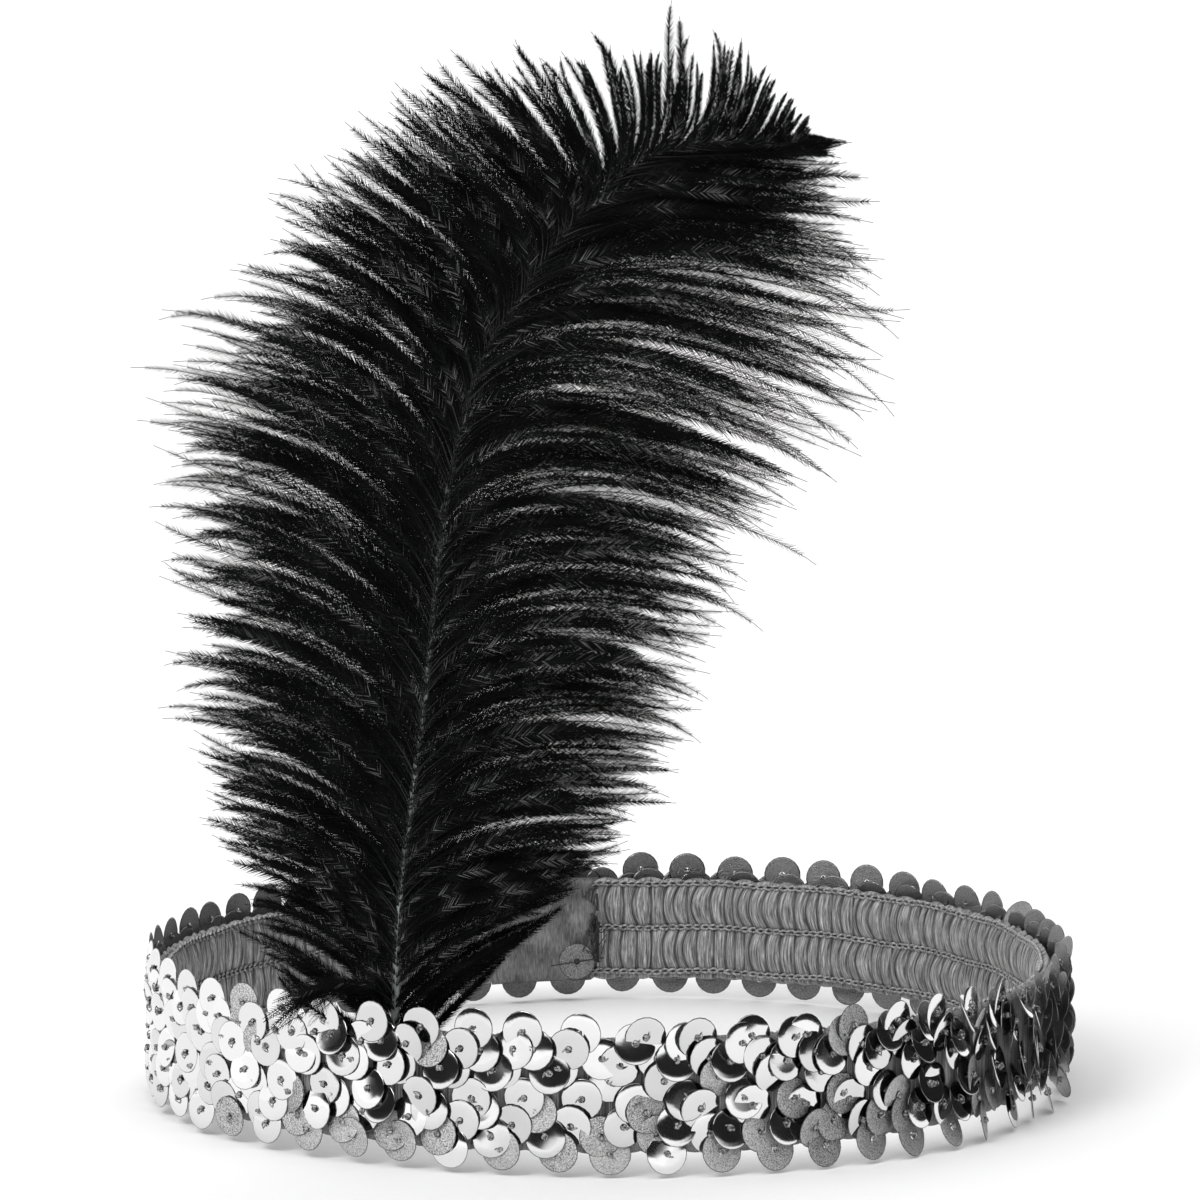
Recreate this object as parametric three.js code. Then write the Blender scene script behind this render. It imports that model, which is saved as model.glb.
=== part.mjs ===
// Flapper headband: a ring of stretch sequin trim that stands on its lower edge, with an ostrich plume.
// Lengths are millimetres. +Z is up and -Y is the front.
// The trim is an elastic band with two padded ribs inside, and flat sequins strung over its outside.
// The plume's quill lies against the inside of the band, left of the front, and carries a vane on each side.
import * as THREE from "three";

const { degToRad, euclideanModulo, lerp } = THREE.MathUtils;

// The ring's plan follows the outer face of the elastic band: an oval with three faint bulges.
const PLAN_LONG_RADIUS = 66.8;
const PLAN_SHORT_RADIUS = 63.4;
const PLAN_TURN = degToRad(-31.6);
const PLAN_BULGE_SHARE = 0.019;
const PLAN_BULGE_TURN = degToRad(-16.3);
const BACK_SEAM_X = -2.6;
const FRONT_MEETING_X = -3.0;

// The elastic band: flat outside, with a stitched channel near each edge and one between its two ribs.
const BAND_HEIGHT = 17.0;
const BAND_THICKNESS = 1.2;
const RIB_DEPTH = 0.9;
const CHANNEL_FROM_EDGE = 1.6;
const CHANNEL_HALF_WIDTH = 0.35;
const RIB_SHOULDER_SHARE = 0.22;
const BAND_SEGMENTS = 72;

// The sequins: flat discs in staggered columns, each column lifted over the next one towards the front.
const SEQUIN_DIAMETER = 6.0;
const SEQUIN_OVERHANG = 3.0;
const SEQUIN_GAP = 0.4;
const SEQUIN_BACKING = 0.5;
const SEQUIN_LIFT = 1.5;
const COLUMN_PITCH = 4.0;
const DISCS_IN_TALL_COLUMN = 4;
const CROWN_ANGLES = [30, 60, 90, 120, 150].map(degToRad);
const HALF_MEETING_GAP = 0.3;

// The lapped end of the band, which lies flat on the inside at the back seam.
const CLEARANCE = 0.3;
const LAP_LENGTH = 17.0;
const LAP_THICKNESS = 0.9;
const LAP_MARGIN = 0.5;
const LAP_SEGMENTS = 6;

// The quill stands against the inside of the band, and above the band it leans back.
const QUILL_X = -31.0;
const QUILL_FOOT_HEIGHT = 4.0;
const QUILL_FOOT_RADIUS = 0.6;
const QUILL_TIP_RADIUS = 0.2;
const QUILL_END_SHARE = 0.97;
const QUILL_SIDES = 8;
const QUILL_STEPS = 32;
const SHAFT_RISE = 134.5;
const PLUME_LEAN = degToRad(4);
const TIP_FORWARD_CURL = 6.0;

// The shaft's line from the foot: how far right and how far up, as shares of SHAFT_RISE.
const SHAFT_LINE = [
  { right: 0.0, up: 0.0 },
  { right: 0.002, up: 0.137 },
  { right: 0.007, up: 0.238 },
  { right: 0.019, up: 0.339 },
  { right: 0.032, up: 0.44 },
  { right: 0.047, up: 0.581 },
  { right: 0.062, up: 0.681 },
  { right: 0.086, up: 0.771 },
  { right: 0.126, up: 0.84 },
  { right: 0.186, up: 0.92 },
  { right: 0.255, up: 0.98 },
  { right: 0.341, up: 0.995 },
  { right: 0.412, up: 0.9845 },
];

// Where the locks end, measured from their roots. along is a share of the shaft's length from the foot,
// and the other columns are shares of VANE_REACH.
const VANE_REACH = 50.0;
const LOCK_ENDS = [
  { along: 0.135, leftOut: 0.36, leftUp: 0.24, rightOut: 0.52, rightUp: 0.2 },
  { along: 0.17, leftOut: 0.5, leftUp: 0.31, rightOut: 0.64, rightUp: 0.2 },
  { along: 0.22, leftOut: 0.6, leftUp: 0.38, rightOut: 0.69, rightUp: 0.18 },
  { along: 0.29, leftOut: 0.66, leftUp: 0.43, rightOut: 0.74, rightUp: 0.15 },
  { along: 0.37, leftOut: 0.68, leftUp: 0.45, rightOut: 0.78, rightUp: 0.12 },
  { along: 0.45, leftOut: 0.73, leftUp: 0.5, rightOut: 0.84, rightUp: 0.1 },
  { along: 0.53, leftOut: 0.67, leftUp: 0.52, rightOut: 0.91, rightUp: 0.04 },
  { along: 0.6, leftOut: 0.52, leftUp: 0.54, rightOut: 0.95, rightUp: 0.0 },
  { along: 0.67, leftOut: 0.42, leftUp: 0.55, rightOut: 0.94, rightUp: 0.0 },
  { along: 0.74, leftOut: 0.32, leftUp: 0.53, rightOut: 0.88, rightUp: 0.02 },
  { along: 0.81, leftOut: 0.09, leftUp: 0.43, rightOut: 0.65, rightUp: 0.02 },
  { along: 0.88, leftOut: -0.06, leftUp: 0.305, rightOut: 0.44, rightUp: -0.02 },
  { along: 0.94, leftOut: -0.1, leftUp: 0.17, rightOut: 0.24, rightUp: -0.04 },
  { along: 0.985, leftOut: -0.09, leftUp: 0.07, rightOut: 0.1, rightUp: -0.01 },
];
const LOCKS_PER_SIDE = 26;
const LOCK_STATIONS = [0, 0.2, 0.42, 0.62, 0.82, 1];
const LAST_FUSED_STATION = 3;
const LOCK_LAUNCH_SHARE = 0.45;
const LOCK_LAUNCH_ANGLE = degToRad(32);
const LOCK_REACH_VARIATION = 0.07;
const LOCK_REACH_RHYTHM = 2.4;
const LOCK_EDGE_SHARE = 0.8;
const ROOT_HALF_THICKNESS = 0.6;
const VALLEY_HALF_THICKNESS = 0.6;
const RIDGE_FRONT = 1.6;
const RIDGE_BACK = 1.0;
const LOCK_SPLAY = 3.5;
const LOCK_SPLAY_RHYTHM = 1.9;
const VANE_SWEEP_BACK = 4.0;

const SEQUIN_RADIUS = SEQUIN_DIAMETER / 2;
const RING_HEIGHT = BAND_HEIGHT + 2 * SEQUIN_OVERHANG;
const DISC_RISE = (RING_HEIGHT - SEQUIN_DIAMETER) / (DISCS_IN_TALL_COLUMN - 1);
const CUSP_ANGLE = Math.asin(DISC_RISE / SEQUIN_DIAMETER);
const BAND_BOTTOM = SEQUIN_OVERHANG;
const BAND_TOP = BAND_BOTTOM + BAND_HEIGHT;
const RIB_FACE = -(BAND_THICKNESS + RIB_DEPTH);

const BLACK_FEATHER = new THREE.MeshStandardMaterial({ color: 0x0c0c0d, roughness: 0.75, metalness: 0 });
const QUILL_HORN = new THREE.MeshStandardMaterial({ color: 0x6f7a74, roughness: 0.5, metalness: 0 });
const GREY_ELASTIC = new THREE.MeshStandardMaterial({ color: 0x6e6e70, roughness: 0.8, metalness: 0 });
const SILVER_SEQUIN = new THREE.MeshStandardMaterial({ color: 0xc9c9cb, roughness: 0.2, metalness: 1 });

// The plan curve, counterclockwise seen from above.
class PlanCurve extends THREE.Curve {
  getPoint(share, target = new THREE.Vector3()) {
    const angle = share * 2 * Math.PI;
    const bulge = 1 + PLAN_BULGE_SHARE * Math.cos(3 * (angle - PLAN_BULGE_TURN));
    const x = PLAN_SHORT_RADIUS * Math.cos(angle) * bulge;
    const y = PLAN_LONG_RADIUS * Math.sin(angle) * bulge;
    const turnCos = Math.cos(PLAN_TURN);
    const turnSin = Math.sin(PLAN_TURN);
    return target.set(x * turnCos - y * turnSin, x * turnSin + y * turnCos, 0);
  }
}
const PLAN_SAMPLES = 2400;
const plan = new PlanCurve();
plan.arcLengthDivisions = PLAN_SAMPLES;
const PLAN_LENGTH = plan.getLength();

// A point on the plan at a length along it, moved outward by a distance, at a height.
function planPoint(length, outward, z) {
  const share = euclideanModulo(length / PLAN_LENGTH, 1);
  const point = plan.getPointAt(share);
  const tangent = plan.getTangentAt(share);
  return new THREE.Vector3(point.x + tangent.y * outward, point.y - tangent.x * outward, z);
}

// The length along the plan at which it crosses x, on its front or on its back.
function lengthAtX(x, onFront) {
  let nearest = { miss: Infinity, length: 0 };
  for (let i = 0; i < PLAN_SAMPLES; i++) {
    const length = (i / PLAN_SAMPLES) * PLAN_LENGTH;
    const point = planPoint(length, 0, 0);
    const miss = Math.abs(point.x - x);
    if (point.y < 0 === onFront && miss < nearest.miss) nearest = { miss, length };
  }
  return nearest.length;
}

// Collects triangles of shared vertices, and gives them as one geometry.
class SolidMesh {
  constructor() {
    this.points = [];
    this.triangles = [];
  }
  vertex(point) {
    this.points.push(point);
    return this.points.length - 1;
  }
  triangle(a, b, c) {
    if (a !== b && b !== c && c !== a) this.triangles.push([a, b, c]);
  }
  quad(a, b, c, d) {
    this.triangle(a, b, c);
    this.triangle(a, c, d);
  }
  fan(loop) {
    for (let i = 1; i + 1 < loop.length; i++) this.triangle(loop[0], loop[i], loop[i + 1]);
  }
  // The open edges of the surface so far, as one loop of vertices in the order the triangles run.
  openLoop() {
    const edges = new Map();
    for (const [a, b, c] of this.triangles) {
      for (const [from, to] of [[a, b], [b, c], [c, a]]) {
        if (edges.get(to)?.has(from)) edges.get(to).delete(from);
        else edges.set(from, (edges.get(from) ?? new Set()).add(to));
      }
    }
    const open = new Map();
    for (const [from, ends] of edges) for (const to of ends) open.set(from, to);
    const start = open.keys().next().value;
    const loop = [start];
    for (let at = open.get(start); at !== start; at = open.get(at)) loop.push(at);
    return loop;
  }
  geometry(insideOut = false) {
    const index = insideOut ? this.triangles.map(([a, b, c]) => [a, c, b]) : this.triangles;
    const geometry = new THREE.BufferGeometry().setFromPoints(this.points);
    geometry.setIndex(index.flat());
    geometry.computeVertexNormals();
    return geometry;
  }
}

// A closed solid through rings of points, each ring in the same order. The ends meet, or get flat caps.
function loftRings(rings, endsMeet, insideOut = false) {
  const mesh = new SolidMesh();
  const loops = rings.map((ring) => ring.map((point) => mesh.vertex(point)));
  const spans = endsMeet ? loops.length : loops.length - 1;
  for (let i = 0; i < spans; i++) {
    const here = loops[i];
    const next = loops[(i + 1) % loops.length];
    here.forEach((vertex, k) => {
      const beside = (k + 1) % here.length;
      mesh.quad(vertex, here[beside], next[beside], next[k]);
    });
  }
  if (!endsMeet) {
    mesh.fan([...loops[0]].reverse());
    mesh.fan(loops.at(-1));
  }
  return mesh.geometry(insideOut);
}

function namedMesh(name, geometry, material) {
  const mesh = new THREE.Mesh(geometry, material);
  mesh.name = name;
  return mesh;
}

// The band's section as outward and height: down the flat outside, then up the ribbed inside.
function bandSection() {
  const channels = [BAND_BOTTOM + CHANNEL_FROM_EDGE, BAND_BOTTOM + BAND_HEIGHT / 2, BAND_TOP - CHANNEL_FROM_EDGE];
  const section = [
    [0, BAND_TOP],
    [0, BAND_BOTTOM],
    [-BAND_THICKNESS, BAND_BOTTOM],
  ];
  for (let rib = 0; rib < 2; rib++) {
    const low = channels[rib] + CHANNEL_HALF_WIDTH;
    const high = channels[rib + 1] - CHANNEL_HALF_WIDTH;
    const shoulder = (high - low) * RIB_SHOULDER_SHARE;
    section.push([-BAND_THICKNESS, low]);
    section.push([RIB_FACE, low + shoulder]);
    section.push([RIB_FACE, high - shoulder]);
    section.push([-BAND_THICKNESS, high]);
  }
  section.push([-BAND_THICKNESS, BAND_TOP]);
  return section;
}

function elasticBand() {
  const rings = [];
  for (let i = 0; i < BAND_SEGMENTS; i++) {
    const length = (i / BAND_SEGMENTS) * PLAN_LENGTH;
    rings.push(bandSection().map(([outward, z]) => planPoint(length, outward, z)));
  }
  return namedMesh("elastic_band", loftRings(rings, true), GREY_ELASTIC);
}

// The lapped end runs from the back seam towards the left, over the faces of the ribs.
function seamLap() {
  const seam = lengthAtX(BACK_SEAM_X, false);
  const outer = RIB_FACE - CLEARANCE;
  const inner = outer - LAP_THICKNESS;
  const rings = [];
  for (let i = 0; i <= LAP_SEGMENTS; i++) {
    const length = seam + (i / LAP_SEGMENTS) * LAP_LENGTH;
    rings.push([
      planPoint(length, outer, BAND_BOTTOM + LAP_MARGIN),
      planPoint(length, inner, BAND_BOTTOM + 2 * LAP_MARGIN),
      planPoint(length, inner, BAND_TOP - 2 * LAP_MARGIN),
      planPoint(length, outer, BAND_TOP - LAP_MARGIN),
    ]);
  }
  return namedMesh("seam_lap", loftRings(rings, false), GREY_ELASTIC);
}

// Half of the sequins, as one body. Column 0 is at the back seam, and the last column at the front.
// A disc's hidden side lies low on the backing, and its free edge is lifted over the next column.
function sequinHalf(name, startLength, runLength, direction) {
  const usable = runLength - SEQUIN_DIAMETER - 2 * HALF_MEETING_GAP;
  const lastColumn = 2 * Math.round(usable / COLUMN_PITCH / 2);
  const pitch = usable / lastColumn;
  const lowOut = SEQUIN_GAP + SEQUIN_BACKING;
  const mesh = new SolidMesh();
  const places = [];
  const made = new Map();

  // One vertex for each place along the run, height and distance outward.
  function at([along, z], outward) {
    const key = [along, z, outward].join();
    if (!made.has(key)) {
      const length = startLength + direction * (along + HALF_MEETING_GAP);
      made.set(key, mesh.vertex(planPoint(length, outward, z)));
      places.push([along, z]);
    }
    return made.get(key);
  }
  const isTall = (column) => column % 2 === 0;
  const discsIn = (column) => DISCS_IN_TALL_COLUMN - (isTall(column) ? 0 : 1);
  const centreOf = (column) => SEQUIN_RADIUS + column * pitch;
  const heightOf = (column, disc) => SEQUIN_RADIUS + DISC_RISE * (disc + (isTall(column) ? 0 : 0.5));
  // A place on a disc's rim, by its angle counterclockwise from the middle of the free edge.
  // A cusp between two discs of a column is worked out from the lower one for both.
  function rim(column, disc, angle) {
    if (disc > 0 && angle === -CUSP_ANGLE) return rim(column, disc - 1, CUSP_ANGLE);
    if (disc > 0 && angle === Math.PI + CUSP_ANGLE) return rim(column, disc - 1, Math.PI - CUSP_ANGLE);
    return [
      centreOf(column) + SEQUIN_RADIUS * Math.cos(angle),
      heightOf(column, disc) + SEQUIN_RADIUS * Math.sin(angle),
    ];
  }
  const low = (column, disc, angle) => at(rim(column, disc, angle), lowOut);
  const back = (place) => at(place, SEQUIN_GAP);
  const lifted = (column, disc, angle) => {
    const share = (1 + Math.cos(angle)) / 2;
    return at(rim(column, disc, angle), lowOut + SEQUIN_LIFT * share);
  };
  const half = CUSP_ANGLE / 2;

  for (let column = 0; column <= lastColumn; column++) {
    for (let disc = 0; disc < discsIn(column); disc++) {
      const isTop = isTall(column) && disc === DISCS_IN_TALL_COLUMN - 1;
      const isBottom = isTall(column) && disc === 0;
      const before = column - 1;
      const below = isTall(column) ? disc - 1 : disc;
      const face = [lifted(column, disc, 0)];
      if (isTop) face.push(...CROWN_ANGLES.map((angle) => lifted(column, disc, angle)));
      else face.push(lifted(column, disc, half), low(column, disc, CUSP_ANGLE));
      if (column === 0) {
        if (!isTop) face.push(low(0, disc, Math.PI - CUSP_ANGLE), low(0, disc, Math.PI - half));
        face.push(low(0, disc, Math.PI));
        if (!isBottom) face.push(low(0, disc, Math.PI + half), low(0, disc, Math.PI + CUSP_ANGLE));
      } else {
        if (!isTop) face.push(low(before, below + 1, 0), low(before, below + 1, -half));
        if (isTop) face.push(low(before, below, CUSP_ANGLE));
        else face.push(low(before, below + 1, -CUSP_ANGLE));
        if (!isBottom) face.push(low(before, below, half), low(before, below, 0));
      }
      if (isBottom) face.push(...CROWN_ANGLES.map((angle) => lifted(column, disc, -angle)).reverse());
      else face.push(low(column, disc, -CUSP_ANGLE), lifted(column, disc, -half));
      mesh.fan(face);

      // The wall under the free edge, down to the next column's discs.
      if (column < lastColumn) {
        const edge = [];
        if (!isBottom) edge.push(-CUSP_ANGLE, -half);
        edge.push(0);
        if (!isTop) edge.push(half, CUSP_ANGLE);
        for (let i = 0; i + 1 < edge.length; i++) {
          const [from, to] = [edge[i], edge[i + 1]];
          const liftedFrom = from === -CUSP_ANGLE ? low(column, disc, from) : lifted(column, disc, from);
          const liftedTo = to === CUSP_ANGLE ? low(column, disc, to) : lifted(column, disc, to);
          mesh.quad(liftedTo, liftedFrom, low(column, disc, from), low(column, disc, to));
        }
      }
    }
  }

  // The walls down to the back, round the whole outline.
  const outline = mesh.openLoop();
  outline.forEach((vertex, i) => {
    const next = outline[(i + 1) % outline.length];
    mesh.quad(next, vertex, back(places[vertex]), back(places[next]));
  });

  // The back, in one piece for each pair of columns between the crowns of the tall columns.
  const backLoop = [];
  for (const vertex of outline) {
    const place = back(places[vertex]);
    if (backLoop.at(-1) !== place && backLoop[0] !== place) backLoop.push(place);
  }
  const crownIndex = (column, disc, angle) => backLoop.indexOf(back(rim(column, disc, angle)));
  const stretch = (from, to) => {
    const found = [];
    for (let i = from; i !== to; i = (i + 1) % backLoop.length) found.push(backLoop[i]);
    return [...found, backLoop[to]];
  };
  const topDisc = DISCS_IN_TALL_COLUMN - 1;
  for (let column = -2; column <= lastColumn; column += 2) {
    const topLeft = crownIndex(Math.max(column, 0), topDisc, Math.PI / 2);
    const bottomLeft = crownIndex(Math.max(column, 0), 0, -Math.PI / 2);
    const topRight = crownIndex(Math.min(column + 2, lastColumn), topDisc, Math.PI / 2);
    const bottomRight = crownIndex(Math.min(column + 2, lastColumn), 0, -Math.PI / 2);
    let cell = [...stretch(bottomLeft, bottomRight), ...stretch(topRight, topLeft)];
    if (column < 0) cell = stretch(topLeft, bottomLeft);
    if (column === lastColumn) cell = stretch(bottomRight, topRight);
    const contour = cell.map((vertex) => new THREE.Vector2(...places[vertex]));
    const isCounterclockwise = !THREE.ShapeUtils.isClockWise(contour);
    for (const [a, b, c] of THREE.ShapeUtils.triangulateShape(contour, [])) {
      if (isCounterclockwise) mesh.triangle(cell[a], cell[c], cell[b]);
      else mesh.triangle(cell[a], cell[b], cell[c]);
    }
  }
  return namedMesh(name, mesh.geometry(direction < 0), SILVER_SEQUIN);
}

// The plume's drawing plane: right and up from the quill's foot, and forward out of the plane.
const shaftLine = new THREE.CatmullRomCurve3(
  SHAFT_LINE.map(({ right, up }) => new THREE.Vector3(right * SHAFT_RISE, up * SHAFT_RISE, 0)),
  false,
  "centripetal",
);
const quillFoot = planPoint(lengthAtX(QUILL_X, true), RIB_FACE - CLEARANCE - QUILL_FOOT_RADIUS, 0);
const UPRIGHT_LENGTH = RING_HEIGHT - QUILL_FOOT_HEIGHT;

function plumePoint(right, up, forward) {
  const leaned = Math.max(0, up - UPRIGHT_LENGTH) * Math.tan(PLUME_LEAN);
  const curl = TIP_FORWARD_CURL * Math.max(0, up / SHAFT_RISE) ** 3;
  return new THREE.Vector3(quillFoot.x + right, quillFoot.y + leaned - curl - forward, QUILL_FOOT_HEIGHT + up);
}

function quillRadius(along) {
  return lerp(QUILL_FOOT_RADIUS, QUILL_TIP_RADIUS, along);
}

// The quill lies in front of the vane's middle, a clearance off it.
function featherQuill() {
  const rings = [];
  for (let i = 0; i <= QUILL_STEPS; i++) {
    const along = (i / QUILL_STEPS) * QUILL_END_SHARE;
    const centre = shaftLine.getPointAt(along);
    const tangent = shaftLine.getTangentAt(along);
    const radius = quillRadius(along);
    const ring = [];
    for (let k = 0; k < QUILL_SIDES; k++) {
      const angle = (k / QUILL_SIDES) * 2 * Math.PI;
      const sideways = radius * Math.cos(angle);
      const forward = radius * Math.sin(angle);
      ring.push(plumePoint(centre.x + tangent.y * sideways, centre.y - tangent.x * sideways, forward));
    }
    rings.push(ring);
  }
  return namedMesh("feather_quill", loftRings(rings, false, true), QUILL_HORN);
}

// A column of LOCK_ENDS at a share of the shaft's length.
function lockEnd(column, along) {
  const upper = LOCK_ENDS.findIndex((row) => row.along >= along);
  if (upper <= 0) return LOCK_ENDS.at(upper)[column];
  const [from, to] = [LOCK_ENDS[upper - 1], LOCK_ENDS[upper]];
  return lerp(from[column], to[column], (along - from.along) / (to.along - from.along));
}

// The line a lock follows in the drawing plane, from the shaft to its end. side is -1 left and 1 right.
function lockPath(side, along, reach) {
  const root = shaftLine.getPointAt(along);
  const tangent = shaftLine.getTangentAt(along);
  const out = side * lockEnd(side < 0 ? "leftOut" : "rightOut", along) * VANE_REACH * reach;
  const up = lockEnd(side < 0 ? "leftUp" : "rightUp", along) * VANE_REACH * reach;
  const end = new THREE.Vector3(root.x + out, root.y + up, 0);
  const launch = tangent.clone().applyAxisAngle(new THREE.Vector3(0, 0, 1), -side * LOCK_LAUNCH_ANGLE);
  const control = root.clone().addScaledVector(launch, root.distanceTo(end) * LOCK_LAUNCH_SHARE);
  return new THREE.QuadraticBezierCurve3(root, control, end);
}

// Both vanes as one body: a lens-shaped sheet of locks that come apart towards their ends.
function plume() {
  const mesh = new SolidMesh();
  const firstAlong = LOCK_ENDS[0].along;
  const lastAlong = LOCK_ENDS.at(-1).along;
  const alongOf = (position) => lerp(firstAlong, lastAlong, position / LOCKS_PER_SIDE);
  const middleForward = (along) => -(ROOT_HALF_THICKNESS + CLEARANCE + quillRadius(along));
  const pair = (point, forward, front, rear) => [
    mesh.vertex(plumePoint(point.x, point.y, forward + front)),
    mesh.vertex(plumePoint(point.x, point.y, forward - rear)),
  ];
  const reachOf = (lock, side) => 1 + LOCK_REACH_VARIATION * Math.sin(LOCK_REACH_RHYTHM * lock + side);
  const splayOf = (lock, side) => LOCK_SPLAY * Math.sin(LOCK_SPLAY_RHYTHM * lock + 2 * side);

  // The roots on the shaft's line, shared by both sides, at each valley and ridge.
  const roots = [];
  for (let k = 0; k <= 2 * LOCKS_PER_SIDE; k++) {
    const along = alongOf(k / 2);
    const point = shaftLine.getPointAt(along);
    roots.push(pair(point, middleForward(along), ROOT_HALF_THICKNESS, ROOT_HALF_THICKNESS));
  }

  for (const side of [-1, 1]) {
    const sheet = (a, b, c, d) => (side < 0 ? mesh.quad(a, b, c, d) : mesh.quad(d, c, b, a));
    const valleys = [];
    for (let k = 0; k <= LOCKS_PER_SIDE; k++) {
      const along = alongOf(k);
      const path = lockPath(side, along, 1);
      const line = [roots[2 * k]];
      for (const station of LOCK_STATIONS.slice(1, LAST_FUSED_STATION + 1)) {
        const forward = middleForward(along) - VANE_SWEEP_BACK * station ** 2;
        line.push(pair(path.getPoint(station), forward, VALLEY_HALF_THICKNESS, VALLEY_HALF_THICKNESS));
      }
      valleys.push({ line, path, along });
    }
    for (let lock = 0; lock < LOCKS_PER_SIDE; lock++) {
      const along = alongOf(lock + 0.5);
      const path = lockPath(side, along, reachOf(lock, side));
      const apart = LOCK_STATIONS[LAST_FUSED_STATION];
      const forwardAt = (station) => {
        const loose = Math.max(0, station - apart) / (1 - apart);
        return middleForward(along) - VANE_SWEEP_BACK * station ** 2 + splayOf(lock, side) * loose ** 2;
      };
      const lowerEdge = [...valleys[lock].line];
      const upperEdge = [...valleys[lock + 1].line];
      const ridge = [roots[2 * lock + 1]];
      LOCK_STATIONS.slice(1, -1).forEach((station) => {
        const point = path.getPoint(station);
        ridge.push(pair(point, forwardAt(station), RIDGE_FRONT, RIDGE_BACK));
        if (station > apart) {
          for (const [edge, valley] of [[lowerEdge, valleys[lock]], [upperEdge, valleys[lock + 1]]]) {
            const edgePoint = point.clone().lerp(valley.path.getPoint(station), LOCK_EDGE_SHARE);
            edge.push(pair(edgePoint, forwardAt(station), VALLEY_HALF_THICKNESS, VALLEY_HALF_THICKNESS));
          }
        }
      });
      const end = path.getPoint(1);
      const tip = mesh.vertex(plumePoint(end.x, end.y, forwardAt(1)));
      for (const line of [lowerEdge, ridge, upperEdge]) line.push([tip, tip]);

      for (let i = 0; i + 1 < LOCK_STATIONS.length; i++) {
        sheet(lowerEdge[i][0], lowerEdge[i + 1][0], ridge[i + 1][0], ridge[i][0]);
        sheet(ridge[i][0], ridge[i + 1][0], upperEdge[i + 1][0], upperEdge[i][0]);
        sheet(lowerEdge[i][1], ridge[i][1], ridge[i + 1][1], lowerEdge[i + 1][1]);
        sheet(ridge[i][1], upperEdge[i][1], upperEdge[i + 1][1], ridge[i + 1][1]);
        if (i >= LAST_FUSED_STATION || lock === 0) {
          sheet(lowerEdge[i][0], lowerEdge[i][1], lowerEdge[i + 1][1], lowerEdge[i + 1][0]);
        }
        if (i >= LAST_FUSED_STATION || lock === LOCKS_PER_SIDE - 1) {
          sheet(upperEdge[i][0], upperEdge[i + 1][0], upperEdge[i + 1][1], upperEdge[i][1]);
        }
      }
    }
  }
  return namedMesh("plume", mesh.geometry(true), BLACK_FEATHER);
}

const seamLength = lengthAtX(BACK_SEAM_X, false);
const meetingLength = lengthAtX(FRONT_MEETING_X, true);
const leftRun = euclideanModulo(meetingLength - seamLength, PLAN_LENGTH);

const headband = new THREE.Group();
headband.name = "flapper_headband";
headband.add(elasticBand());
headband.add(seamLap());
headband.add(sequinHalf("sequins_left", seamLength, leftRun, 1));
headband.add(sequinHalf("sequins_right", seamLength, PLAN_LENGTH - leftRun, -1));
headband.add(featherQuill());
headband.add(plume());

// The origin is the middle of the whole headband's box, on its base plane.
const middle = new THREE.Box3().setFromObject(headband).getCenter(new THREE.Vector3());
headband.position.set(-middle.x, -middle.y, 0);

export default headband;
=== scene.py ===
# The look of the flapper headband: a ring of stretch sequin trim with a black ostrich plume.
# Lengths below are millimetres in the part's frame, +Z up and -Y the front, and metres once in Blender.
import math

import bpy
import numpy as np
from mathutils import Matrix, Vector


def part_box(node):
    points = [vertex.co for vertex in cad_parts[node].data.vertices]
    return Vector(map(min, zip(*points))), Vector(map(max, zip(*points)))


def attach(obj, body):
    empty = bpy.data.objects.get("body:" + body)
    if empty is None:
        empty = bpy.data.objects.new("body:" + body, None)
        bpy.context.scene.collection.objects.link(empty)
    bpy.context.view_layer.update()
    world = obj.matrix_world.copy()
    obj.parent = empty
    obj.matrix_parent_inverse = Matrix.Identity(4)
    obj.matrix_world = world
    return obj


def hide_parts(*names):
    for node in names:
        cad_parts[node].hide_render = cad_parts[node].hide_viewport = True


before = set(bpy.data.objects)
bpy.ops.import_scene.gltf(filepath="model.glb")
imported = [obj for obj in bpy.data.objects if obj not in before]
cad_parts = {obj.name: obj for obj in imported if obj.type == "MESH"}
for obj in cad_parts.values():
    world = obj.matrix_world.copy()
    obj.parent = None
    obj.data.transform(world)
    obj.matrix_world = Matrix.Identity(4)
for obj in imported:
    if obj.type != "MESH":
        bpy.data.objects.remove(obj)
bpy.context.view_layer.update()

MM = 0.001
TURN = 2 * math.pi

# The ring's plan and the trim on it, as in the part.
PLAN_LONG_RADIUS = 66.8
PLAN_SHORT_RADIUS = 63.4
PLAN_TURN = math.radians(-31.6)
PLAN_BULGE_SHARE = 0.019
PLAN_BULGE_TURN = math.radians(-16.3)
BACK_SEAM_X = -2.6
FRONT_MEETING_X = -3.0
BAND_BOTTOM = 3.0
BAND_HEIGHT = 17.0
BAND_TOP = BAND_BOTTOM + BAND_HEIGHT
BAND_THICKNESS = 1.2
RIB_DEPTH = 0.9
CHANNEL_FROM_EDGE = 1.6
CHANNELS = (BAND_BOTTOM + CHANNEL_FROM_EDGE, BAND_BOTTOM + BAND_HEIGHT / 2, BAND_TOP - CHANNEL_FROM_EDGE)
RING_HEIGHT = 23.0
SEQUIN_RADIUS = 2.85

# The camera that took the photograph, in the ring's own frame: 1200 pixels across a 36 mm sensor.
CAMERA_X = -1.68
CAMERA_BACK = 850.7
CAMERA_HEIGHT = 169.6
CAMERA_PITCH = math.radians(6.66)
CAMERA_LENS = 179.1
SENSOR_WIDTH = 36.0

rng = np.random.default_rng(20)


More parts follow.
